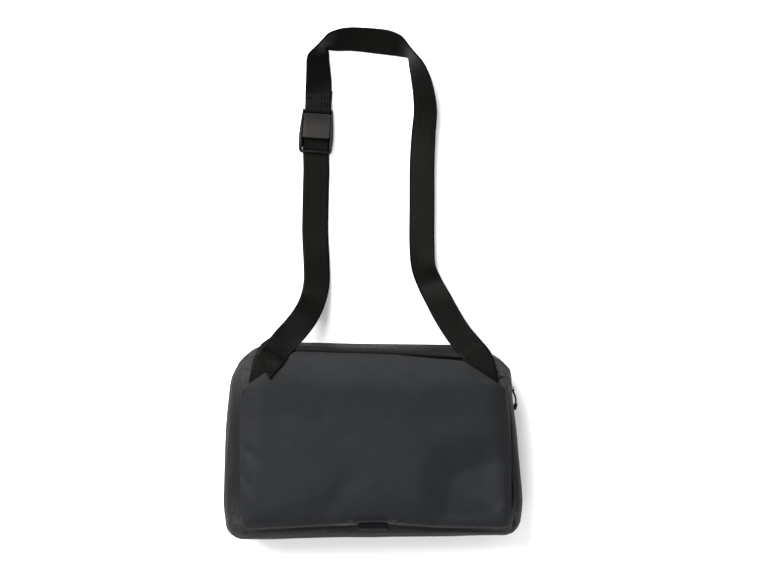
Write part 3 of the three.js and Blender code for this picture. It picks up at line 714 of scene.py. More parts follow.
bodySet = {
    "wallRows": 72,
    "lipRows": 9,  # extra rows at each lip of the zip
    "lipReach": 1.6,
    "crownRows": 44,
    "crownCrowding": 1.7,  # of the rows near the edge
    "insideSkip": 4,
    "crownCover": 0.97,  # share of the way to the centre
    "channelDepth": 3.0,
    "channelEdge": 0.7,
    "lipRise": 0.5,
    "lipPlace": (1.5, 1.0),  # beyond the channel, and width
    # x, y, reach and strength of crinkles, which also take wear and painted sheen
    "crinkled": ((-114, 66, 24, 0.7), (120, 62, 18, 1.5), (-124, -72, 18, 0.5), (125, -73, 13, 1.3)),
    "crinkle": 0.95,
    "crinkleSize": (10, 10, 8),
    "crinkleFrom": (26, 50),  # height where it starts and is whole
    "fineSize": (6, 6, 6),
    # painted sheen on the bottom roll below a y; wear and painted sheen show only above a height
    "bottomSheen": 1.0,
    "sheenBelow": (78, 85),
    "wearAndSheenAbove": (40, 66),
    "streak": 0.7,
    "streakSize": (52, 52, 6.5),  # long round the bag and narrow across
    "sag": 0.7,
    "sagSize": (60, 60, 40),
    "calm": (0.85, 26, 12),  # share, height and reach of the flat stretch beside the zip
    "hem": (7.6, 0.7, 0.45),  # height, width and depth of the sewn line near the back
    # lines where the cloth dips along the panel's mouth and right edge, with painted shade in them: x, y and
    # depth
    "dips": (
        (
            (-84, 82, 0.5), (-71, 85.6, 1.3), (-26, 84.4, 1.5), (18, 83.1, 1.8),
            (52, 80.2, 2.4), (84, 77.3, 2.6), (100, 67, 1.5), (116, 56, 0.6),
        ),
        (
            (124.6, 48, 0.3), (127.6, 17, 1.0), (128.5, -8, 1.8),
            (128.6, -40, 2.0), (128.4, -54, 1.8), (128.0, -60, 0.4),
        ),
        ((130.4, -64, 0.2), (130.6, -71, 1.3), (129.4, -77, 1.5), (127.6, -80.6, 0.7)),
        ((-118, -82.0, 0.3), (-60, -78.8, 0.7), (-18, -76.8, 0.4)),
        ((19, -76.6, 0.4), (62, -79.6, 0.8), (110, -81.0, 0.9), (121, -80.4, 0.5)),
    ),
    "dipWidth": 1.3,
    "dipShade": 0.48,
    "dipsAbove": 50.0,  # only on the front
    "tuckFollow": 1.3,  # sinks a little more than the panel's tuck
}


def zipChannel(y, z, s=bodySet):
    low, high, endY = zipSet["low"], zipSet["high"], zipSet["endY"]
    edge, (beyond, width) = s["channelEdge"], s["lipPlace"]
    inside = smooth(z, low - edge, low + edge) * (1 - smooth(z, high - edge, high + edge))
    rims = bell(z, low - beyond, width) + bell(z, high + beyond, width)
    return smooth(y, endY - 2, endY + 1) * (s["channelDepth"] * inside - s["lipRise"] * rims)


def wallRows(s):
    rows = [np.linspace(0, len(bagSet["wall"]) - 1, s["wallRows"])]
    for lip in (zipSet["low"], zipSet["high"]):
        heights = np.linspace(lip - s["lipReach"], lip + s["lipReach"], s["lipRows"])
        rows.append(np.interp(heights, wallLine[:, 1], wallSteps))
    return np.sort(np.concatenate(rows))[::-1]  # from the front to the back


def bodyGrid(s):
    rows = wallRows(s)
    inset, height = splineAt(bagSet["wall"], rows).T
    z = np.broadcast_to(height[:, None], (len(rows), len(outline)))
    depth = inset[:, None] * outlineShare + zipChannel(outline[:, 1], z)
    xy = outline - outlineNormal * depth[..., None]
    walls = np.dstack((xy, z))
    centre = np.array(bagSet["centre"])
    shares = 1 - s["crownCover"] * np.linspace(1, 0, s["crownRows"])[:-1] ** s["crownCrowding"]
    crown = []
    for share in shares:
        flat = centre + (walls[0, :, :2] - centre) * share
        crown.append(np.column_stack((flat, frontHeight(flat))))
    return np.concatenate((np.array(crown), walls)), len(shares)


def spotShare(places, spots):  # round soft spots of x, y, reach and strength
    x, y = places[..., 0], places[..., 1]
    return sum(share * bell(x, atX, reach) * bell(y, atY, reach) for atX, atY, reach, share in spots)


def dipDepth(grid, s):
    depth = np.zeros(grid.shape[:-1])
    front = grid[..., 2] > s["dipsAbove"]
    for line in s["dips"]:
        depth[front] += creaseDepth(grid[front][:, :2], line, s["dipWidth"])
    return depth


def bodyWrinkles(grid, across, s):
    x, y, z = np.moveaxis(grid, -1, 0)
    onWall = smooth(across, 2, 16) * smooth(z, 4, 14)
    streakPlace = np.dstack((x, y, across)) / np.array(s["streakSize"])
    streaks = noiseAt(streakPlace, 1, 1, 1) + 0.5 * noiseAt(streakPlace + 7.3, 0.6, 0.6, 0.5)
    folds = 1 - 2 * np.abs(noiseAt(grid + 31.0, *s["crinkleSize"]))
    fine = noiseAt(grid + 5.0, *s["fineSize"])
    height, width, depth = s["hem"]
    sewn = -depth * bell(z, height, width)
    slack = s["sag"] * noiseAt(grid, *s["sagSize"]) * smooth(z, 6, 20)
    crinkles = s["crinkle"] * spotShare(grid, s["crinkled"]) * (folds - 0.4 + 0.35 * fine)
    crinkled = crinkles * smooth(z, *s["crinkleFrom"])
    share, middle, reach = s["calm"]
    calm = 1 - share * smooth(y, zipSet["endY"] - 6, zipSet["endY"]) * bell(z, middle, reach)
    tuck = tuckHeight(grid.reshape(-1, 3)[:, :2], panelSet).reshape(z.shape)
    sunk = s["tuckFollow"] * tuck * smooth(z, 62, 76)
    return (s["streak"] * streaks * onWall + crinkled + slack) * calm + sewn - dipDepth(grid, s) + sunk


def gridNormals(grid):
    down = np.gradient(grid, axis=0)
    around = np.roll(grid, -1, axis=1) - np.roll(grid, 1, axis=1)
    return unit(np.cross(down, around))


def buildBody(s):
    grid, crownCount = bodyGrid(s)
    across = np.cumsum(np.linalg.norm(np.diff(grid, axis=0, prepend=grid[:1]), axis=2), axis=0)
    across = across - across[crownCount]
    # painted shade, darker the deeper the dip
    sunk = np.clip(s["dipShade"] * dipDepth(grid, s), 0, 0.9)
    grid = grid + gridNormals(grid) * bodyWrinkles(grid, across, s)[..., None]
    inside = (grid - gridNormals(grid) * bagSet["wallThickness"])[::-1][::s["insideSkip"]]
    along = np.broadcast_to(outlineLength, across.shape)
    threads = np.dstack((along, across, np.zeros_like(across)))
    threads = np.concatenate((threads, threads[::-1][::s["insideSkip"]]))
    # painted sheen on the bottom roll, and wear with painted sheen at the crinkled corners
    patches = 0.6 + 0.4 * noiseAt(grid, 60, 60, 3)
    rubbed = s["bottomSheen"] * smooth(-grid[..., 1], *s["sheenBelow"]) * patches
    worn = np.clip(spotShare(grid, s["crinkled"]) + rubbed, 0, 1)
    edge = worn * smooth(grid[..., 2], *s["wearAndSheenAbove"])
    hidden = np.zeros_like(inside[..., 0])
    edge, sunk = np.concatenate((edge, hidden)), np.concatenate((sunk, hidden))
    points, faces = loft(np.concatenate((grid, inside)))
    # sunk carries the painted shade of the dips
    attributes = {"cloth": loftValues(threads), "edge": loftValues(edge), "sunk": loftValues(sunk)}
    addMesh("body_skin", points, faces, bodyCloth, "body_fabric", "body_shell", attributes=attributes)


# Front panel, sewn at its sides and bottom and open along its top

panelSet = {
    # corners x, y and radius, anticlockwise
    "corners": (
        (-121.5, -80, 9), (-30, -75.5, 0), (-13, -74.8, 0), (-12.1, -73.2, 0), (13.3, -72.8, 0),
        (14.2, -74.2, 0), (62, -77.8, 0), (127.5, -79, 9), (127.5, 0, 0), (123, 50.5, 8), (84, 76, 2),
        (18, 81.8, 0), (-71, 84.4, 2), (-121, 49.5, 8), (-122, 0, 0),
    ),
    "centre": (2.0, -4.0),
    "thickness": 1.8,
    "leastRoll": 9.5,
    "gap": 0.6,  # over the body
    "mouthLift": (2.4, 20.0, 58.0),  # height, and where it starts and ends
    "step": 1.4,
    "edgeRows": (0, 0.12, 0.3, 0.6, 1.0, 1.5, 2.1, 2.8, 3.6, 4.5, 6, 8, 10.5, 13.5),  # in from the edge
    "innerRows": 56,
    "innerShares": (0.98, 0.03),
    "borderFrom": 0.75,  # share of the way out where the hem is measured
    "farIn": 30.0,  # taken for what lies inside that
    "underShares": (1, 0.97, 0.91, 0.84, 0.77, 0.7, 0.63, 0.56, 0.48, 0.4, 0.3, 0.2, 0.1, 0.03),
    "edgeRound": 0.8,
    "sewnBelow": (40, 50),
    "rightFrom": (110, 122),
    "ridge": (0.25, 1.5, 1.1),  # height, inward and width
    "groove": (0.15, 4.0, 1.0),
    "settled": 1.9,  # how far the sewn edges come down
    "rightShare": 0.5,  # less on the right
    "settledReach": 9.0,
    "seam": (1.4, 0.9),  # painted highlight along the bottom seam's light ridge, inward and width
    "seamBelow": (62, 74),
    # strength of the painted highlight on the puckers
    "puckerHighlight": 1.2,
    # x, y, heading, spread along and across, height
    "folds": (
        (-31, -48, 55, 28, 10, -1.5), (-113, -34, 90, 42, 20, 1.2), (124.6, -54.2, 50, 2.2, 0.8, -0.9),
        (122, -13, 20, 3, 1, -0.8), (-112, -8, -50, 16, 5, -1.3), (-116, -32, -62, 14, 4.5, -1.3),
    ),
    "puckers": (  # light gathers beside the tab, as the folds, each with a painted highlight
        (-25, -74.8, 4, 7, 1.1, 1.1), (-19.6, -71.8, -30, 3.2, 1.0, 1.0), (-17, -74.6, 8, 3.5, 0.8, 0.8),
        (24, -73.2, -4, 6.5, 1.0, 1.1), (20, -71.0, 20, 3.2, 0.9, 0.9), (15.8, -70.8, 60, 2, 0.8, 0.7),
        (105, 57, -33, 3.0, 0.9, 0.5), (115.5, -58, 52, 8.0, 3.0, 0.35),
    ),
    # tuck at the lower right: its left and upper line through x, y with a slope,
    # how round its corner is, its profile, and where it fades
    "tuckLeft": (69.5, -50.0, 0.04),
    "tuckUpper": (89.0, -21.0, 0.17),
    "tuckRound": 10.0,
    "tuck": (
        (-38, 0), (-27, -0.5), (-17, -2.2), (-8, -4.4), (-2, -5.6), (0, -5.85),
        (2, -5.75), (8, -5.3), (25, -3.7), (45, -1.5), (80, 0),
    ),
    "tuckFadeY": (-84, -62),
    "tuckFadeX": (100, 128, 0.6),  # and how much of it goes
    # reach and height of the crown by x, short on the left where the cloth is drawn flat
    "reach": ((-125, 18.0), (-95, 20.0), (-50, 45.0), (55, 45.0), (100, 34.0), (130, 30.0)),
    "crown": ((-125, 5.4), (-60, 7.0), (60, 7.0), (110, 5.2), (130, 4.8)),
    "slack": 0.35,
    "slackSize": (46, 46, 46),
    "crinkle": 0.5,
    "crinkleSize": (9, 9, 9),
    # x, y, reach and strength
    "crinkled": ((-116, 48, 14, 1), (112, 54, 16, 1), (118, -68, 13, 1), (-117, -70, 12, 1)),
}


def foldHeight(xy, folds):
    height = np.zeros(len(xy))
    for x, y, heading, along, across, rise in folds:
        turn = math.radians(heading)
        dx, dy = xy[:, 0] - x, xy[:, 1] - y
        there = dx * math.cos(turn) + dy * math.sin(turn)
        aside = dy * math.cos(turn) - dx * math.sin(turn)
        height += rise * bell(there, 0, along) * bell(aside, 0, across)
    return height


def tuckHeight(xy, s):  # steep outside its two lines and gentle inside
    leftX, leftY, leftSlope = s["tuckLeft"]
    upperX, upperY, upperSlope = s["tuckUpper"]
    beyondLeft = xy[:, 0] - leftX - leftSlope * (xy[:, 1] - leftY)
    below = upperY + upperSlope * (xy[:, 0] - upperX) - xy[:, 1]
    inside = -s["tuckRound"] * np.logaddexp(-beyondLeft / s["tuckRound"], -below / s["tuckRound"])
    fine = splineThrough(s["tuck"], 200)
    fromX, toX, lost = s["tuckFadeX"]
    fading = smooth(xy[:, 1], *s["tuckFadeY"]) * (1 - lost * smooth(xy[:, 0], fromX, toX))
    return np.interp(inside, *fine.T) * fading


def edgeDistance(xy, path):  # of points from a closed path
    along = np.roll(path, -1, axis=0) - path

    def distances(part):
        toPoint = part[:, None] - path
        share = np.clip((toPoint * along).sum(2) / (along ** 2).sum(1), 0, 1)
        return np.linalg.norm(toPoint - share[..., None] * along, axis=2).min(axis=1)

    return inParts(distances, xy)


def panelHeight(xy, s=panelSet):  # of the panel's face, without its hem
    lift, start, end = s["mouthLift"]
    reach, crown = (np.interp(xy[:, 0], *np.array(s[key]).T) for key in ("reach", "crown"))
    height = frontHeight(xy, crown, s["leastRoll"], reach) + s["gap"] + s["thickness"]
    height += lift * smooth(xy[:, 1], start, end) + foldHeight(xy, s["folds"] + s["puckers"])
    flat = np.column_stack((xy, np.zeros(len(xy))))
    height += s["slack"] * noiseAt(flat, *s["slackSize"]) + tuckHeight(xy, s)
    return height + s["crinkle"] * spotShare(xy, s["crinkled"]) * noiseAt(flat + 9.0, *s["crinkleSize"])


def panelHem(xy, inward, s=panelSet):  # rounded edge with a welded ridge on the sewn sides
    sewn = 1 - smooth(xy[:, 1], *s["sewnBelow"])
    right = smooth(xy[:, 0], *s["rightFrom"]) * sewn
    ridge, groove = (
        rise * (sewn - right) * bell(inward, place, width) for rise, place, width in (s["ridge"], s["groove"])
    )
    out = np.clip(1 - inward / s["edgeRound"], 0, 1)
    rounded = s["edgeRound"] * (1 - np.sqrt(1 - out ** 2))
    settled = s["settled"] * (sewn - s["rightShare"] * right) * (1 - smooth(inward, 0, s["settledReach"]))
    return ridge - groove - rounded - settled


def buildPanel(s):
    path = roundedPath(s["corners"], s["step"])
    centre = np.array(s["centre"])
    spokes = path - centre
    reach = np.linalg.norm(spokes, axis=1)
    edgeShares = 1 - np.array(s["edgeRows"])[:, None] / reach
    innerShares = edgeShares[-1] * np.linspace(*s["innerShares"], s["innerRows"])[:, None]
    shares = np.concatenate((edgeShares, innerShares))[::-1]
    flat = centre + spokes * shares[..., None]
    xy = flat.reshape(-1, 2)
    near = np.full(len(xy), s["farIn"])
    border = (shares > s["borderFrom"]).ravel()
    near[border] = edgeDistance(xy[border], path)
    face = panelHeight(xy) + panelHem(xy, near)
    top = np.dstack((flat, face.reshape(shares.shape)))
    under = []
    for share in s["underShares"]:
        place = centre + spokes * share
        under.append(np.column_stack((place, panelHeight(place) - s["thickness"])))
    rings = np.concatenate((top, under))
    edge = np.zeros(rings.shape[:2])
    # painted highlight along the bottom seam and on the puckers
    seam = bell(near, *s["seam"]) * smooth(-xy[:, 1], *s["seamBelow"])
    worn = np.clip(seam + s["puckerHighlight"] * foldHeight(xy, s["puckers"]), 0, 1)
    edge[: len(top)] = worn.reshape(shares.shape)
    points, faces = loft(rings)
    attributes = {"cloth": loftValues(flatThreads(rings)), "edge": loftValues(edge)}
    piece = addMesh(
        "front_panel_cloth", points, faces, panelCloth, "panel_fabric", "front_panel", attributes=attributes
    )


buildBody(bodySet)
buildPanel(panelSet)
print("body and front panel built")


# Flat back with a soft seat for the band of webbing across it

backSet = {
    "inset": 6.2,
    "thickness": 3.0,
    # inward and height, round the edge and over it
    "edgeRows": ((0, 2.2), (0, 1.2), (0.25, 0.5), (0.8, 0.1), (1.6, 0), (2.6, 0), (4, 0.25), (5.4, 0)),
    "topRows": ((0.3, 2.75), (1.0, 3.0)),
    "innerRows": 70,
    "seatDepth": 1.75,
    "seatEdge": (0.3, 1.8),  # beyond the band
}
bandSet = {"length": 150.0, "width": 25.0, "thickness": 1.5, "y": 45.0}


def buildBack(s):
    path = outline - outlineNormal * (s["inset"] * outlineShare)[:, None]
    reach = np.linalg.norm(path, axis=1)

    def ringAt(inward, height):
        place = path * (1 - inward / reach)[:, None]
        return np.column_stack((place, np.broadcast_to(height, len(place))))

    def seat(place):
        x = np.abs(place[:, 0]) - bandSet["length"] / 2
        y = np.abs(place[:, 1] - bandSet["y"]) - bandSet["width"] / 2
        return s["seatDepth"] * (1 - smooth(x, *s["seatEdge"])) * (1 - smooth(y, *s["seatEdge"]))

    rings = [ringAt(inward, height) for inward, height in reversed(s["edgeRows"])]
    last = s["edgeRows"][-1][0]
    inner = []
    for share in np.linspace(0.02, 0.99, s["innerRows"]):
        place = path * share * (1 - last / reach)[:, None]
        inner.append(np.column_stack((place, seat(place))))
    top = [ringAt(inward, height) for inward, height in s["topRows"]]
    top.append(np.column_stack((path * 0.02, np.full(len(path), s["thickness"]))))
    rings = np.array(inner + rings + top)
    points, faces = loft(rings)
    attributes = {"cloth": loftValues(flatThreads(rings)), "edge": np.zeros(len(points))}
    piece = addMesh(
        "back_panel_pad", points, faces, bodyCloth, "body_fabric", "back_panel", attributes=attributes
    )


buildBack(backSet)
print("back built")


# Webbing

webbingShape = {
    "width": 25.0,
    "thickness": 1.5,
    "edge": 0.45,
    "topPoints": 13,
    "underPoints": 7,
    "step": 1.1,
    "selvedge": 0.12,
    "slantReach": 24.0,  # length over which an end turns slanting
}


def webbingSection(s):  # across and up, round the section
    half, thick, edge = s["width"] / 2, s["thickness"] / 2, s["edge"]
    top = np.linspace(half - edge, edge - half, s["topPoints"])
    bead = s["selvedge"] * smooth(np.abs(top), half - 2.4, half - 1.2)
    section = [(a, thick - s["selvedge"] + b) for a, b in zip(top, bead)]
    section += [(-half + 0.1, thick - edge), (-half, 0), (-half + 0.1, edge - thick)]
    section += [(a, -thick) for a in np.linspace(edge - half, half - edge, s["underPoints"])]
    section += [(half - 0.1, edge - thick), (half, 0), (half - 0.1, thick - edge)]
    return np.array(section)


def tableRun(stations, perStation=14):  # points and side directions through rows of x, y, z or height, roll
    stations = np.array(stations, float)
    x, y, z, above, roll = stations.T
    onBag = ~np.isnan(above)
    z = z.copy()
    z[onBag] = frontHeight(np.column_stack((x, y))[onBag]) + above[onBag]
    t = np.linspace(0, len(stations) - 1, (len(stations) - 1) * perStation + 1)
    points = routeAt(np.column_stack((x, y, z)), t)
    along = unit(np.gradient(points, axis=0))
    side = unit(np.cross(up, along))
    angle = np.radians(splineAt(roll[:, None], t))
    return points, side * np.cos(angle) + np.cross(along, side) * np.sin(angle)


def evenRun(points, sides, slant=(0.0, 0.0), step=webbingShape["step"]):
    known = lengthsAlong(points)
    along = np.linspace(0, known[-1], math.ceil(known[-1] / step) + 1)
    points, sides = readAt(along, known, points), readAt(along, known, sides)
    for _ in range(3):  # eases the places where stretches meet
        points[1:-1] = (points[:-2] + 2 * points[1:-1] + points[2:]) / 4
        sides[1:-1] = (sides[:-2] + 2 * sides[1:-1] + sides[2:]) / 4
    forward = unit(np.gradient(points, axis=0))
    sides = unit(sides - forward * (sides * forward).sum(1, keepdims=True))
    # the end's left and right edges, moved along
    half, left, right = webbingShape["width"] / 2, *slant
    ending = smooth(along, along[-1] - webbingShape["slantReach"], along[-1])[:, None]
    middle = forward * (left + right) / 2 * ending
    turn = forward * (left - right) / 2 / half * ending
    normals = np.cross(forward, sides)
    return {"points": points + middle, "sides": sides + turn, "normals": normals, "along": along}


def onRun(run, along, across, lift):  # a point over a run of webbing
    point, side, normal = (readAt(along, run["along"], run[key]) for key in ("points", "sides", "normals"))
    return point + side * np.asarray(across)[:, None] + normal * lift, normal


def buildWebbing(name, node, run, s=webbingShape):
    section = webbingSection(s)
    points, sides, normals = run["points"], run["sides"], run["normals"]
    rings = points[:, None] + sides[:, None] * section[:, :1] + normals[:, None] * section[:, 1:]
    shape = rings.shape[:2]
    along = np.broadcast_to(run["along"][:, None], shape)
    across = np.broadcast_to(section[:, 0] + s["width"], shape)
    threads = np.dstack((along, across, np.zeros(shape)))
    attributes = {"cloth": loftValues(threads)}
    piece = addMesh(name, *loft(rings), strapWebbing, "webbing", node, attributes=attributes)


buckleSet = {"x": -53.4, "y": 291.4, "turn": -4.0}
buckleTurn = math.radians(buckleSet["turn"])
buckleAcross = np.array((math.cos(buckleTurn), math.sin(buckleTurn), 0.0))
buckleAxes = np.array((buckleAcross, np.cross(up, buckleAcross), up))  # across, along and up


def fromBuckle(points):  # from the buckle's own across, along and height
    return np.asarray(points, float) @ buckleAxes + np.array((buckleSet["x"], buckleSet["y"], 0))


nan = math.nan
longStrapSet = {
    "topBar": (18.6, 3.75),  # along the buckle and height
    "tails": (21, 16, 11, 6),  # doubled end, behind the bar
    "tailHeight": 1.2,
    "wrapRadius": 2.55,
    "wrapSteps": 20,
    "lead": (6, 2.2),
    # x, y, height or height above the bag, roll
    "stations": (
        (-51.6, 327, 3.2, nan, 0), (-51.3, 338, 4.6, nan, 12), (-51.6, 350, 6.6, nan, 24),
        (-51.6, 362, 8.8, nan, 36), (-46.6, 371.9, 12.8, nan, 74), (-40.3, 376.2, 11.8, nan, 56),
        (-32.8, 377.8, 9.6, nan, 41), (-21.4, 378.9, 8.1, nan, 33), (-10, 378.4, 7.3, nan, 29),
        (5.1, 377, 6.4, nan, 24), (14, 375.8, 6.9, nan, 26), (25.4, 372.2, 9.9, nan, 46),
        (35, 365, 13, nan, 76), (40.8, 354.6, 12.8, nan, 60), (45.6, 340.4, 12.6, nan, 44),
        (48.6, 325.2, 12.4, nan, 35), (50, 310, 9.6, nan, 28), (48.4, 290, 6.6, nan, 24),
        (47, 262, 5.4, nan, 19), (46.8, 220, 4.8, nan, 17.5), (46.8, 182, 4.8, nan, 17),
        (48.4, 162, 5.4, nan, 23), (55, 145.6, 6, nan, 17), (62.6, 131, 15, nan, 8), (71, 115, 33, nan, -4),
        (80, 100.4, 53, nan, -11), (90, 88, 69.4, nan, -13), (98.4, 77.4, nan, 1.1, -8),
        (101.8, 66, nan, 1.4, -4), (103.2, 54, nan, 1.3, -4),
    ),
}
shortStrapSet = {
    # across, along and height in the buckle
    "held": (
        (0, 5, 2.25), (0, -4, 2.4), (0.45, -11, 2.2), (0.75, -16, 1.9), (1.05, -21.5, 1.2), (1.5, -27, 1.3),
    ),
    "slant": (3.2, -6.2),  # how far each edge of the sewn end reaches
    "stations": (
        (-53.6, 255, 1.5, nan, 0), (-54.4, 222, 1.4, nan, 0), (-54.7, 194, 2, nan, 0),
        (-53.4, 168, 4.6, nan, -5), (-53.2, 148, 7, nan, -6), (-56, 133, 13, nan, 6),
        (-61.8, 119, 26, nan, 0), (-70.6, 106, 46, nan, -3), (-81, 94, 66.3, nan, 8),
        (-90.4, 81.6, nan, 8.4, 10), (-100.6, 69.4, nan, 9.6, 4),
    ),
}
strapTabSet = {
    "stations": (
        (-101.6, 47, nan, 1.3, -7), (-100.8, 56, nan, 1.3, -7), (-98.6, 67, nan, 1.3, -6),
        (-95.8, 78, nan, 1.6, -8), (-93.6, 82.4, nan, 1.6, -10), (-89.4, 86.0, 71.2, nan, -13),
        (-84.3, 89.6, 67.6, nan, -15),
    ),
}


def longStrapRun(s):
    v, z = s["topBar"]
    fold = [(0, v + tail, s["tailHeight"]) for tail in s["tails"]]
    for angle in -np.pi / 2 - np.pi * np.arange(s["wrapSteps"] + 1) / s["wrapSteps"]:
        fold.append((0, v + s["wrapRadius"] * math.cos(angle), z + s["wrapRadius"] * math.sin(angle)))
    fold.append((0, v + s["lead"][0], z + s["lead"][1]))
    points, sides = tableRun(s["stations"])
    left = np.broadcast_to(-buckleAcross, (len(fold), 3))
    return evenRun(np.vstack((fromBuckle(fold), points)), np.vstack((left, sides)))


def shortStrapRun(s):
    held = fromBuckle(s["held"])
    points, sides = tableRun(s["stations"])
    right = np.broadcast_to(buckleAcross, (len(held), 3))
    return evenRun(np.vstack((held, points)), np.vstack((right, sides)), s["slant"])


longRun = longStrapRun(longStrapSet)
shortRun = shortStrapRun(shortStrapSet)
tabRun = evenRun(*tableRun(strapTabSet["stations"]))
buildWebbing("long_strap_webbing", "strap_long", longRun)
buildWebbing("short_strap_webbing", "strap_short", shortRun)
buildWebbing("strap_tab_webbing", "strap_tab", tabRun)

bandReach, bandMiddle = bandSet["length"] / 2, bandSet["thickness"] / 2
bandEnds = np.array([(x, bandSet["y"], bandMiddle) for x in (-bandReach, bandReach)])
bandRun = evenRun(bandEnds, np.array(((0.0, 1, 0), (0, 1, 0))))
buildWebbing("bar_band_webbing", "bar_band", bandRun)

# Short doubled tab in the notch of the panel's bottom seam
bottomTabSet = {
    "fromX": -12.2,
    "toX": 13.4,
    "fromY": -73.2,
    "toY": -79.4,
    "rows": 26,
    "thickness": 3.0,
    "leastShare": 0.35,  # of the thickness, at the folded end
    "round": 0.45,
    "step": 2.2,
    "gap": 0.6,  # over the body
}


def buildBottomTab(s):
    middleX, half = (s["fromX"] + s["toX"]) / 2, (s["toX"] - s["fromX"]) / 2
    rings = []
    for y in np.linspace(s["fromY"], s["toY"], s["rows"]):
        near = np.clip(1 - abs(y - s["toY"]) / s["thickness"], 0, 1)  # rounds over at its folded end
        thick = s["thickness"] * max(s["leastShare"], math.sqrt(1 - near ** 2))
        corners = [(x, z, s["round"]) for x, z in ((-half, 0), (half, 0), (half, thick), (-half, thick))]
        across, high = roundedPath(corners, s["step"]).T
        place = np.column_stack((middleX + across, np.full(len(across), y)))
        rings.append(np.column_stack((place, frontHeight(place) + s["gap"] + high)))
    count = min(len(ring) for ring in rings)
    rings = np.array([ring[np.linspace(0, len(ring) - 1, count).astype(int)] for ring in rings])
    attributes = {"cloth": loftValues(flatThreads(rings))}
    addMesh("bottom_tab_loop", *loft(rings), tabWebbing, "webbing", "bottom_tab", attributes=attributes)


buildBottomTab(bottomTabSet)
longLength, shortLength = longRun["along"][-1], shortRun["along"][-1]
print("webbing built: long strap", round(longLength), "mm, short strap", round(shortLength), "mm")


# Cam buckle

cheekSet = {
    "channel": 26.2,
    "height": 8.2,
    "endHeight": 6.6,
    # place along the buckle and half width
    "bends": ((-20.5, 13.6), (-18.2, 15.4), (-9, 16.3), (3, 15.9), (14, 14.9), (21.2, 14.2)),
    "rows": 60,
    "round": 0.9,
    "base": (-14.6, 14.4, 1.2),  # from, to and thickness
    "baseEdge": ((0, 0.35), (0.2, 0.1), (0.5, 0)),  # inward and drop
    "baseSeat": 0.3,  # into the cheeks
    "baseRound": 0.2,
    "topBar": (18.6, 3.75, 1.5),  # place, height and radius
    "lowBar": (-19.2, 4.8, 1.2),
    "barSeat": 0.5,
    "sides": 24,
    "topWear": 0.04,
    "barWear": 1.2,  # width of the rubbed stretch at the low bar
}
leverSet = {
    "width": 25.4,
    "pivot": (-3.5, 5.8),
    "cam": 2.4,
    "bore": 1.2,
    # place, underside and top
    "plate": (
        (-6.7, 7.4, 9.0), (-5.8, 7.5, 10.5), (-1, 7.7, 9.4), (5, 7.6, 8.5), (11, 7.5, 8.6), (16.6, 7.9, 9.8),
    ),
    "rows": 90,
    "corner": 1.6,
    "round": 0.45,
    "crown": 0.1,
    "lines": (14.4, 12.5),  # pressed lines across the plate
    "lineDepth": 0.28,
    "lineWidth": 0.32,
    "wornReach": 0.8,
    "sides": 28,
    "pin": 1.0,
    "rivet": (1.7, 16.2, 0.35),  # radius, place across and rise
    "rivetWear": 0.3,
}


def boxRing(left, right, low, high, radius, topPoints=0):  # rounded box section, as pairs
    ring = []
    for x, z, first in ((left, low, 180), (right, low, 270), (right, high, 0), (left, high, 90)):
        centreX = x + math.copysign(radius, (left + right) / 2 - x)
        centreZ = z + math.copysign(radius, (low + high) / 2 - z)
        for angle in np.radians(first + np.linspace(0, 90, 5)):
            ring.append((centreX + radius * math.cos(angle), centreZ + radius * math.sin(angle)))
        if first == 0:
            for share in np.arange(1, topPoints + 1) / (topPoints + 1):
                ring.append((right - radius + (left - right + 2 * radius) * share, high))
    return np.array(ring)


def acrossBuckle(ring, v):  # a section of across and height, at a place along the buckle
    return np.column_stack((ring[:, 0], np.full(len(ring), v), ring[:, 1]))


def barPath(across, v, z):
    return np.column_stack((across, np.full(len(across), v), np.full(len(across), z)))


def buckleBar(v, z, radius, half, sides, bore=0, rounding=0.4):
    ends = np.array((0, 0.15, 0.5, 1)) * rounding
    across = np.concatenate((-half + ends, half - ends[::-1]))
    shrink = np.sqrt(np.clip(1 - (1 - ends / rounding) ** 2, 0.15, 1)) * 0.25 + 0.75
    path = barPath(across, v, z)
    outer = sweep(path, radius * np.concatenate((shrink, shrink[::-1])), sides)
    return hoop(np.concatenate((outer, sweep(path, bore, sides)[::-1]))) if bore else loft(outer)


def addBuckleMesh(name, points, faces, finish, node, edge, body="bag"):
    addMesh(name, fromBuckle(points), faces, finish, "buckle_metal", node, body, {"edge": edge})


def buildBuckleFrame(s):
    inner = s["channel"] / 2
    spine = splineThrough(s["bends"], s["rows"])
    parts = []
    for side in (-1, 1):
        rings = []
        for v, halfWidth in spine:
            toEnd = min(v - spine[0, 0], spine[-1, 0] - v)
            top = s["height"] - (s["height"] - s["endHeight"]) * (1 - smooth(toEnd, 0, 6))
            wide = max(halfWidth, inner + 0.35)
            ring = boxRing(inner, wide, 0, top, min(s["round"], (wide - inner) * 0.45))
            rings.append(acrossBuckle(ring * (side, 1), v))
        parts.append(loft(np.array(rings)))
    start, end, thick = s["base"]
    half, radius = inner + s["baseSeat"], s["baseRound"]
    stations = [(start + inward, drop) for inward, drop in s["baseEdge"]]
    stations += [(end - inward, drop) for inward, drop in reversed(s["baseEdge"])]
    rings = [acrossBuckle(boxRing(-half, half, drop, thick - drop, radius), v) for v, drop in stations]
    parts.append(loft(np.array(rings)))
    for v, z, radius in (s["topBar"], s["lowBar"]):
        parts.append(buckleBar(v, z, radius, inner + s["barSeat"], s["sides"]))
    points, faces = joined(parts)
    x, y, z = points.T
    rubbed = s["topWear"] * smooth(z, s["height"] - 0.6, s["height"])
    rubbed += bell(y, s["lowBar"][0], s["barWear"]) * (np.abs(x) < inner)
    addBuckleMesh("buckle_frame_cast", points, faces, frameMetal, "buckle_frame", np.clip(rubbed, 0, 1))


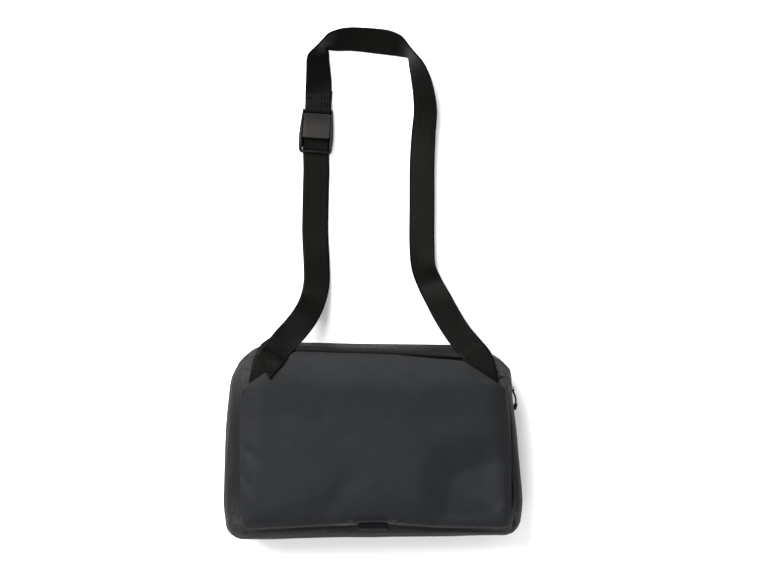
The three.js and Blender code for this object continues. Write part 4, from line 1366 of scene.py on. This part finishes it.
def buildLever(s):
    rows = splineThrough(s["plate"], 300)
    first, last = rows[0, 0], rows[-1, 0]
    nearEnd = np.array((0, 0.1, 0.3, 0.6, 1))
    extra = [line + np.linspace(-0.8, 0.8, 9) for line in s["lines"]] + [first + nearEnd, last - nearEnd]
    places = np.unique(np.concatenate((np.linspace(first, last, s["rows"]), *extra)))
    rings = []
    for v in places:
        under, top = (np.interp(v, rows[:, 0], rows[:, i]) for i in (1, 2))
        toEnd = min(v - places[0], places[-1] - v)
        out = max(0.0, 1 - toEnd / s["corner"])
        half = s["width"] / 2 - s["corner"] * (1 - math.sqrt(1 - out ** 2))
        ring = boxRing(-half, half, under, top, min(s["round"], (top - under) * 0.45), 9)
        onTop = ring[:, 1] > (under + top) / 2
        groove = sum(s["lineDepth"] * bell(v, line, s["lineWidth"]) for line in s["lines"])
        inside = smooth(half - np.abs(ring[:, 0]), 0.6, 1.6)
        ring[:, 1] += onTop * (s["crown"] * (1 - (ring[:, 0] / half) ** 2) - groove * inside)
        rings.append(acrossBuckle(ring, v))
    parts = [loft(np.array(rings)), buckleBar(*s["pivot"], s["cam"], s["width"] / 2, s["sides"], s["bore"])]
    points, faces = joined(parts)
    toEnd = np.minimum(points[:, 1] - places[0], places[-1] - points[:, 1])
    toEdge = np.minimum(toEnd, s["width"] / 2 - np.abs(points[:, 0]))
    edge = np.clip(1 - toEdge / s["wornReach"], 0, 1)
    addBuckleMesh("lever_plate", points, faces, leverMetal, "buckle_lever", edge, "lever")


def buildPin(s):  # round pin with a low rivet head on each cheek
    radius, place, rise = s["rivet"]
    across = np.array((-place - rise, -place - rise * 0.9, -place - rise * 0.4, -place, -place + 0.3))
    radii = np.array((0.3, 0.7, 0.95, 1.0, 1.0)) * radius
    across = np.concatenate((across, [-place + 0.31, place - 0.31], -across[::-1]))
    radii = np.concatenate((radii, [s["pin"], s["pin"]], radii[::-1]))
    points, faces = loft(sweep(barPath(across, *s["pivot"]), radii, s["sides"]))
    worn = np.full(len(points), s["rivetWear"])
    addBuckleMesh("buckle_rivet_pin", points, faces, frameMetal, "buckle_pin", worn)


buildBuckleFrame(cheekSet)
buildLever(leverSet)
buildPin(leverSet)
print("buckle built")


# Zip round the top, with its slider and pull

zipMiddle = (zipSet["low"] + zipSet["high"]) / 2


def outlineAbove(y):  # places and normals from the right side round to the left
    first = int(np.argmax((outline[:, 1] > y) & (np.roll(outline[:, 1], 1) <= y)))
    order = (first - 1 + np.arange(len(outline))) % len(outline)
    last = int(np.argmax(outline[order[1:], 1] <= y)) + 1
    order = order[: last + 1]
    places, normals = outline[order].copy(), outlineNormal[order].copy()
    for end, near in ((0, 1), (-1, -2)):
        share = (y - places[end, 1]) / (places[near, 1] - places[end, 1])
        places[end] += (places[near] - places[end]) * share
        normals[end] = unit(normals[end] + (normals[near] - normals[end]) * share)
    return places, normals


def besideZip(places, normals, height, depth):  # below the wall's face at one height
    inset = wallInset(height) * rollShare(normals) + depth
    xy = places - normals * np.reshape(inset, (-1, 1))
    return np.column_stack((xy, np.broadcast_to(height, len(xy))))


def buildZipTape(s):
    places, normals = outlineAbove(s["endY"] + s["tapeShort"])
    low, high = s["low"] + s["tapeGap"], s["high"] - s["tapeGap"]
    edge, (slitDepth, slitHalf) = s["tapeDepth"] + s["tapeRound"], s["slit"]
    depth, under = s["tapeDepth"], s["tapeDepth"] + s["tapeThickness"]
    section = [(edge, low)]
    section += [(depth, z) for z in np.linspace(low + 0.4, zipMiddle - slitHalf, 8)]
    section += [(depth + slitDepth, zipMiddle)]
    section += [(depth, z) for z in np.linspace(zipMiddle + slitHalf, high - 0.4, 8)]
    section += [(edge, high), (under, high), (under, zipMiddle), (under, low)]
    columns = np.array([besideZip(places, normals, z, d) for d, z in section])
    rings = columns.transpose(1, 0, 2)
    along = np.broadcast_to(lengthsAlong(places)[:, None], rings.shape[:2])
    threads = np.dstack((along, rings[..., 2], np.zeros(rings.shape[:2])))
    attributes = {"cloth": loftValues(threads)}
    addMesh("zip_tape_weave", *loft(rings), zipTapeWeave, "zip_black", "zip_tape", attributes=attributes)


coilSet = {
    "pitch": 1.25,
    "length": 3.2,
    "radius": 0.5,
    "offset": 0.55,
    "bow": 0.35,  # how far a tooth's ends turn in
    "sides": 6,
    "rings": 6,
}


def buildCoil(s):  # teeth of the closed zip, from both sides in turn
    places, normals = outlineAbove(zipSet["endY"] + zipSet["coilShort"])
    known = lengthsAlong(places)
    count = int(known[-1] / s["pitch"])
    where = (np.arange(count) + 0.5) * s["pitch"]
    spots, outward = readAt(where, known, places), unit(readAt(where, known, normals))
    depth = zipSet["tapeDepth"] - zipSet["coilRise"] + s["radius"]
    middles = besideZip(spots, outward, zipMiddle, depth)
    middles[:, 2] += s["offset"] * (-1) ** np.arange(count)
    share = np.linspace(-1, 1, s["rings"])
    radii = s["radius"] * np.sqrt(np.clip(1 - np.abs(share) ** 4, 0.12, 1))
    parts = []
    for middle, out in zip(middles, outward):
        path = middle + np.outer(share * s["length"] / 2, up)
        path[:, :2] -= np.outer(s["bow"] * share ** 2, out)
        parts.append(loft(sweep(path, radii, s["sides"], np.array((out[0], out[1], 0.0)))))
    addMesh("zip_coil_teeth", *joined(parts), gripRubber, "zip_black")
    print("zip teeth:", count)


buildZipTape(zipSet)
buildCoil(coilSet)

sliderSet = {
    "length": 11.0,
    "width": 8.0,
    "nose": 0.7,  # width of its narrow end, as a share
    "thickness": 2.0,
    "corner": 1.8,
    "round": 0.55,
    "gap": 0.3,  # over the teeth
}
bailSet = {"radius": 2.6, "wire": 0.6, "flatten": 0.85, "steps": 28, "sides": 12}
cordSet = {"diameter": 1.3, "bend": 4.4, "apart": 0.95, "sunk": 0.3, "samples": 8}
gripSet = {
    "length": 6.8,
    "radius": 1.9,
    "neck": 1.4,
    "top": -13.0,
    "out": 4.1,
    "lean": 17.0,
    "sides": 32,
    "rows": 61,
    "rings": 4,
    "ringDepth": 0.2,
}

pullPlaces, pullNormals = outlineAbove(zipSet["sliderY"])
pullOut = np.append(pullNormals[0], 0.0)
pullAxes = np.array((np.cross(up, pullOut), up, pullOut))  # along the zip, up, and out from the bag
pullOrigin = np.append(pullPlaces[0], zipMiddle)
coilOut = zipSet["coilRise"] - zipSet["tapeDepth"] - wallInset(zipMiddle) * rollShare(pullNormals[:1])[0]
sliderFoot = coilOut + sliderSet["gap"]
sliderTop = sliderFoot + sliderSet["thickness"]


def fromPull(points):
    return np.asarray(points, float) @ pullAxes + pullOrigin


def buildSlider(s, bail):
    length, width = s["length"] / 2, s["width"] / 2
    nose = width * s["nose"]
    corners = ((-length, -nose), (length, -width), (length, width), (-length, nose))
    plan = roundedPath([(x, y, s["corner"]) for x, y in corners], 0.6)
    rings = []
    edge = s["round"]
    for angle in np.radians(np.linspace(-90, 90, 13)):
        height = sliderTop - edge if angle > 0 else sliderFoot + edge
        shrink = edge * (1 - math.cos(angle))
        ring = plan - unit(plan) * shrink
        rings.append(np.column_stack((ring, np.full(len(ring), height + edge * math.sin(angle)))))
    body = loft(np.array(rings))
    angle = np.radians(np.linspace(-8, 188, bail["steps"]))
    high = sliderTop + bail["flatten"] * bail["radius"] * np.sin(angle)
    arch = np.column_stack((bail["radius"] * np.cos(angle), np.zeros(len(angle)), high))
    bow = loft(sweep(arch, bail["wire"], bail["sides"], np.array((0.0, 1.0, 0.0))))
    points, faces = joined([body, bow])
    worn = {"edge": smooth(points[:, 2], sliderTop - 0.4, sliderTop + 2.4)}
    place = fromPull(points)
    addMesh("zip_slider_cast", place, faces, frameMetal, "buckle_metal", "zip_slider", attributes=worn)


def buildGrip(s):
    along = np.linspace(0, 1, s["rows"])
    swell = s["neck"] + (s["radius"] - s["neck"]) * np.sin(np.pi * np.clip(along * 1.08, 0, 1)) ** 0.7
    rings = s["ringDepth"] * smooth(np.cos(2 * np.pi * along * s["rings"]), 0.2, 0.9)
    rings = rings * smooth(along, 0.1, 0.2) * (1 - smooth(along, 0.8, 0.9))  # none near its ends
    ends = np.sqrt(np.clip(1 - np.clip(1 - np.minimum(along, 1 - along) / 0.06, 0, 1) ** 2, 0.1, 1))
    lean = math.radians(s["lean"])
    down, inward = along * s["length"] * math.cos(lean), along * s["length"] * math.sin(lean)
    path = np.column_stack((s["top"] - down, np.zeros(s["rows"]), s["out"] - inward))
    points, faces = loft(sweep(path, (swell - rings) * ends, s["sides"]))
    return addMesh("pull_grip_moulded", fromPull(points), faces, gripRubber, "zip_black", "zip_pull_grip")


def pullRoute(s, grip, bail):  # from the grip through the slider's bail and back
    eyeOut = sliderTop + bail["flatten"] * (bail["radius"] - bail["wire"]) / 2
    top, out, bend, apart = grip["top"], grip["out"], s["bend"], s["apart"]
    strand = np.array((
        (top + s["sunk"], apart, out),
        ((top - bend) / 2, (bend + apart) / 2, out),
        (-bend, bend, (out + eyeOut) / 2),
    ))
    places = fromPull(np.vstack((strand, (0, 0, eyeOut), strand[::-1] * (1, -1, 1))))
    return routeAt(places, np.linspace(0, len(places) - 1, (len(places) - 1) * s["samples"] + 1))


def buildPullCord(s, grip):
    points = pullRoute(s, gripSet, bailSet)
    data = bpy.data.curves.new("pull_cord", "CURVE")
    data.dimensions = "3D"
    line = data.splines.new("POLY")
    line.points.add(len(points) - 1)
    line.points.foreach_set("co", np.column_stack((points * mm, np.ones(len(points)))).ravel())
    data.bevel_depth = s["diameter"] / 2 * mm
    data.bevel_resolution = 4
    data.use_fill_caps = True
    data.materials.append(cordBraid)
    cord = bpy.data.objects.new("pull_cord", data)
    bpy.context.scene.collection.objects.link(cord)
    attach(cord, "bag")
    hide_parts("zip_pull_cord")


buildSlider(sliderSet, bailSet)
buildPullCord(cordSet, buildGrip(gripSet))
print("zip built")


# Stitches

stitchSet = {"long": 2.3, "gap": 0.9, "radius": 0.3, "arch": 0.16, "sunk": 0.1, "sides": 6}
stitchTaper = np.array((0.35, 0.85, 1, 1, 0.85, 0.35))


def stitchParts(path, normals, s=stitchSet):  # short capsules of thread along a path on a surface
    known = lengthsAlong(path)
    pitch = s["long"] + s["gap"]
    parts = []
    for first in np.arange(s["gap"] / 2, known[-1] - s["long"] + 0.01, pitch):
        share = np.linspace(0, 1, len(stitchTaper))
        where = first + share * s["long"]
        normal = unit(readAt(where, known, normals))
        lift = s["arch"] * np.sin(np.pi * share) - s["sunk"]
        middle = readAt(where, known, path) + normal * lift[:, None]
        parts.append(loft(sweep(middle, s["radius"] * stitchTaper, s["sides"], normal)))
    return parts


# Straight rows between places along and across a webbing
def runStitches(run, corners, lift, thread=stitchSet):
    parts = []
    for (along0, across0), (along1, across1) in zip(corners, corners[1:]):
        share = np.linspace(0, 1, 24)
        along, across = along0 + (along1 - along0) * share, across0 + (across1 - across0) * share
        parts += stitchParts(*onRun(run, along, across, lift), thread)
    return parts


def boxStitches(run, start, end, half, lift):  # a square of stitches with a cross in it
    square = [(start, -half), (end, -half), (end, half), (start, half), (start, -half)]
    rows = square + [(end, half)], [(start, half), (end, -half)]
    return runStitches(run, rows[0], lift) + runStitches(run, rows[1], lift)


sewnSet = {
    "onTop": 0.68,
    "boxHalf": 9.2,
    "boxLong": 15.0,
    "boxInset": 3.2,
    # start and length, from where the doubled end lies under the strap
    "tackRows": ((-1.6, 5.2), (5.8, 3.2)),
    "tackGap": 0.2,
    "tackRadius": 0.42,
    "tackColumns": (-10.8, -8.4, -6.0, -3.2, 6.4, 8.6, 10.8),
    "bandInset": 5.0,  # middle of each square on the band
    "bandBox": (4.0, 9.5),  # half its length and width
}


def buildStrapStitches(s):
    boxEnd = shortLength - s["boxInset"]
    parts = boxStitches(shortRun, boxEnd - s["boxLong"], boxEnd, s["boxHalf"], s["onTop"])
    tail, lead = longStrapSet["tails"][0], longStrapSet["lead"][0]
    wrapEnd = tail + math.pi * longStrapSet["wrapRadius"] + lead
    for start, long in s["tackRows"]:
        thread = dict(stitchSet, long=long - s["tackGap"], gap=s["tackGap"], radius=s["tackRadius"])
        for across in s["tackColumns"]:
            ends = [(wrapEnd + start, across), (wrapEnd + start + long, across)]
            parts += runStitches(longRun, ends, s["onTop"], thread)
    addMesh("strap_stitches", *joined(parts), sewingThread, "webbing")


def buildBandStitches(s):
    parts = []
    halfLong, half = s["bandBox"]
    for middle in (s["bandInset"], bandSet["length"] - s["bandInset"]):
        parts += boxStitches(bandRun, middle - halfLong, middle + halfLong, half, -bandMiddle)
    addMesh("band_stitches", *joined(parts), sewingThread, "webbing")


buildStrapStitches(sewnSet)
buildBandStitches(sewnSet)
print("stitches sewn")


# Floor and light

floorSet = {
    "size": 9000.0,
    "below": 0.3,
    "pale": (0.93, 0.93, 0.93, 1),
    "paler": (0.95, 0.95, 0.95, 1),
    "scale": (3.0, 60.0),
    "shader": {"Roughness": 0.9, "Specular IOR Level": 0.1},
}
lightSet = {
    "sky": 0.95,
    # place, aimed at, size and power
    "key": ((-1000, 1180, 1780), (0, 60, 0), 1800, 132.0),
    "fill": ((-300, -1500, 1900), (0, 60, 0), 1400, 14.0),
}


def addFloor(s):
    half = s["size"] / 2
    corners = np.array(((-half, -half), (half, -half), (half, half), (-half, half)))
    points = np.column_stack((corners, np.full(4, -s["below"]))) * mm
    mesh = bpy.data.meshes.new("floor")
    mesh.from_pydata(points.tolist(), [], [[0, 1, 2, 3]])
    finish, tree, shader = startMaterial("pale_floor", s)
    uneven = startGrain(tree, *s["scale"])[1]
    tree.links.new(blendColours(tree, uneven["Cloud"], s["pale"], s["paler"]), shader["Base Color"])
    mesh.materials.append(finish)
    floor = bpy.data.objects.new("floor", mesh)
    bpy.context.scene.collection.objects.link(floor)


def addLight(name, place, aim, size, power):
    data = bpy.data.lights.new(name, "AREA")
    data.shape = "DISK"
    data.size = size * mm
    data.energy = power
    light = bpy.data.objects.new(name, data)
    bpy.context.scene.collection.objects.link(light)
    light.location = np.array(place) * mm
    toAim = bpy.data.objects.new(name + "_aim", None)
    bpy.context.scene.collection.objects.link(toAim)
    toAim.location = np.array(aim) * mm
    track = light.constraints.new("TRACK_TO")
    track.target = toAim
    track.track_axis = "TRACK_NEGATIVE_Z"
    track.up_axis = "UP_Y"


def addLights(s):
    world = bpy.data.worlds.new("studio")
    bpy.context.scene.world = world
    world.use_nodes = True
    back = world.node_tree.nodes["Background"]
    back.inputs["Color"].default_value = (1, 1, 1, 1)
    back.inputs["Strength"].default_value = s["sky"]
    addLight("key", *s["key"])
    addLight("fill", *s["fill"])
    bpy.context.scene.view_settings.view_transform = "Standard"


addFloor(floorSet)
addLights(lightSet)
print("floor and lights placed")
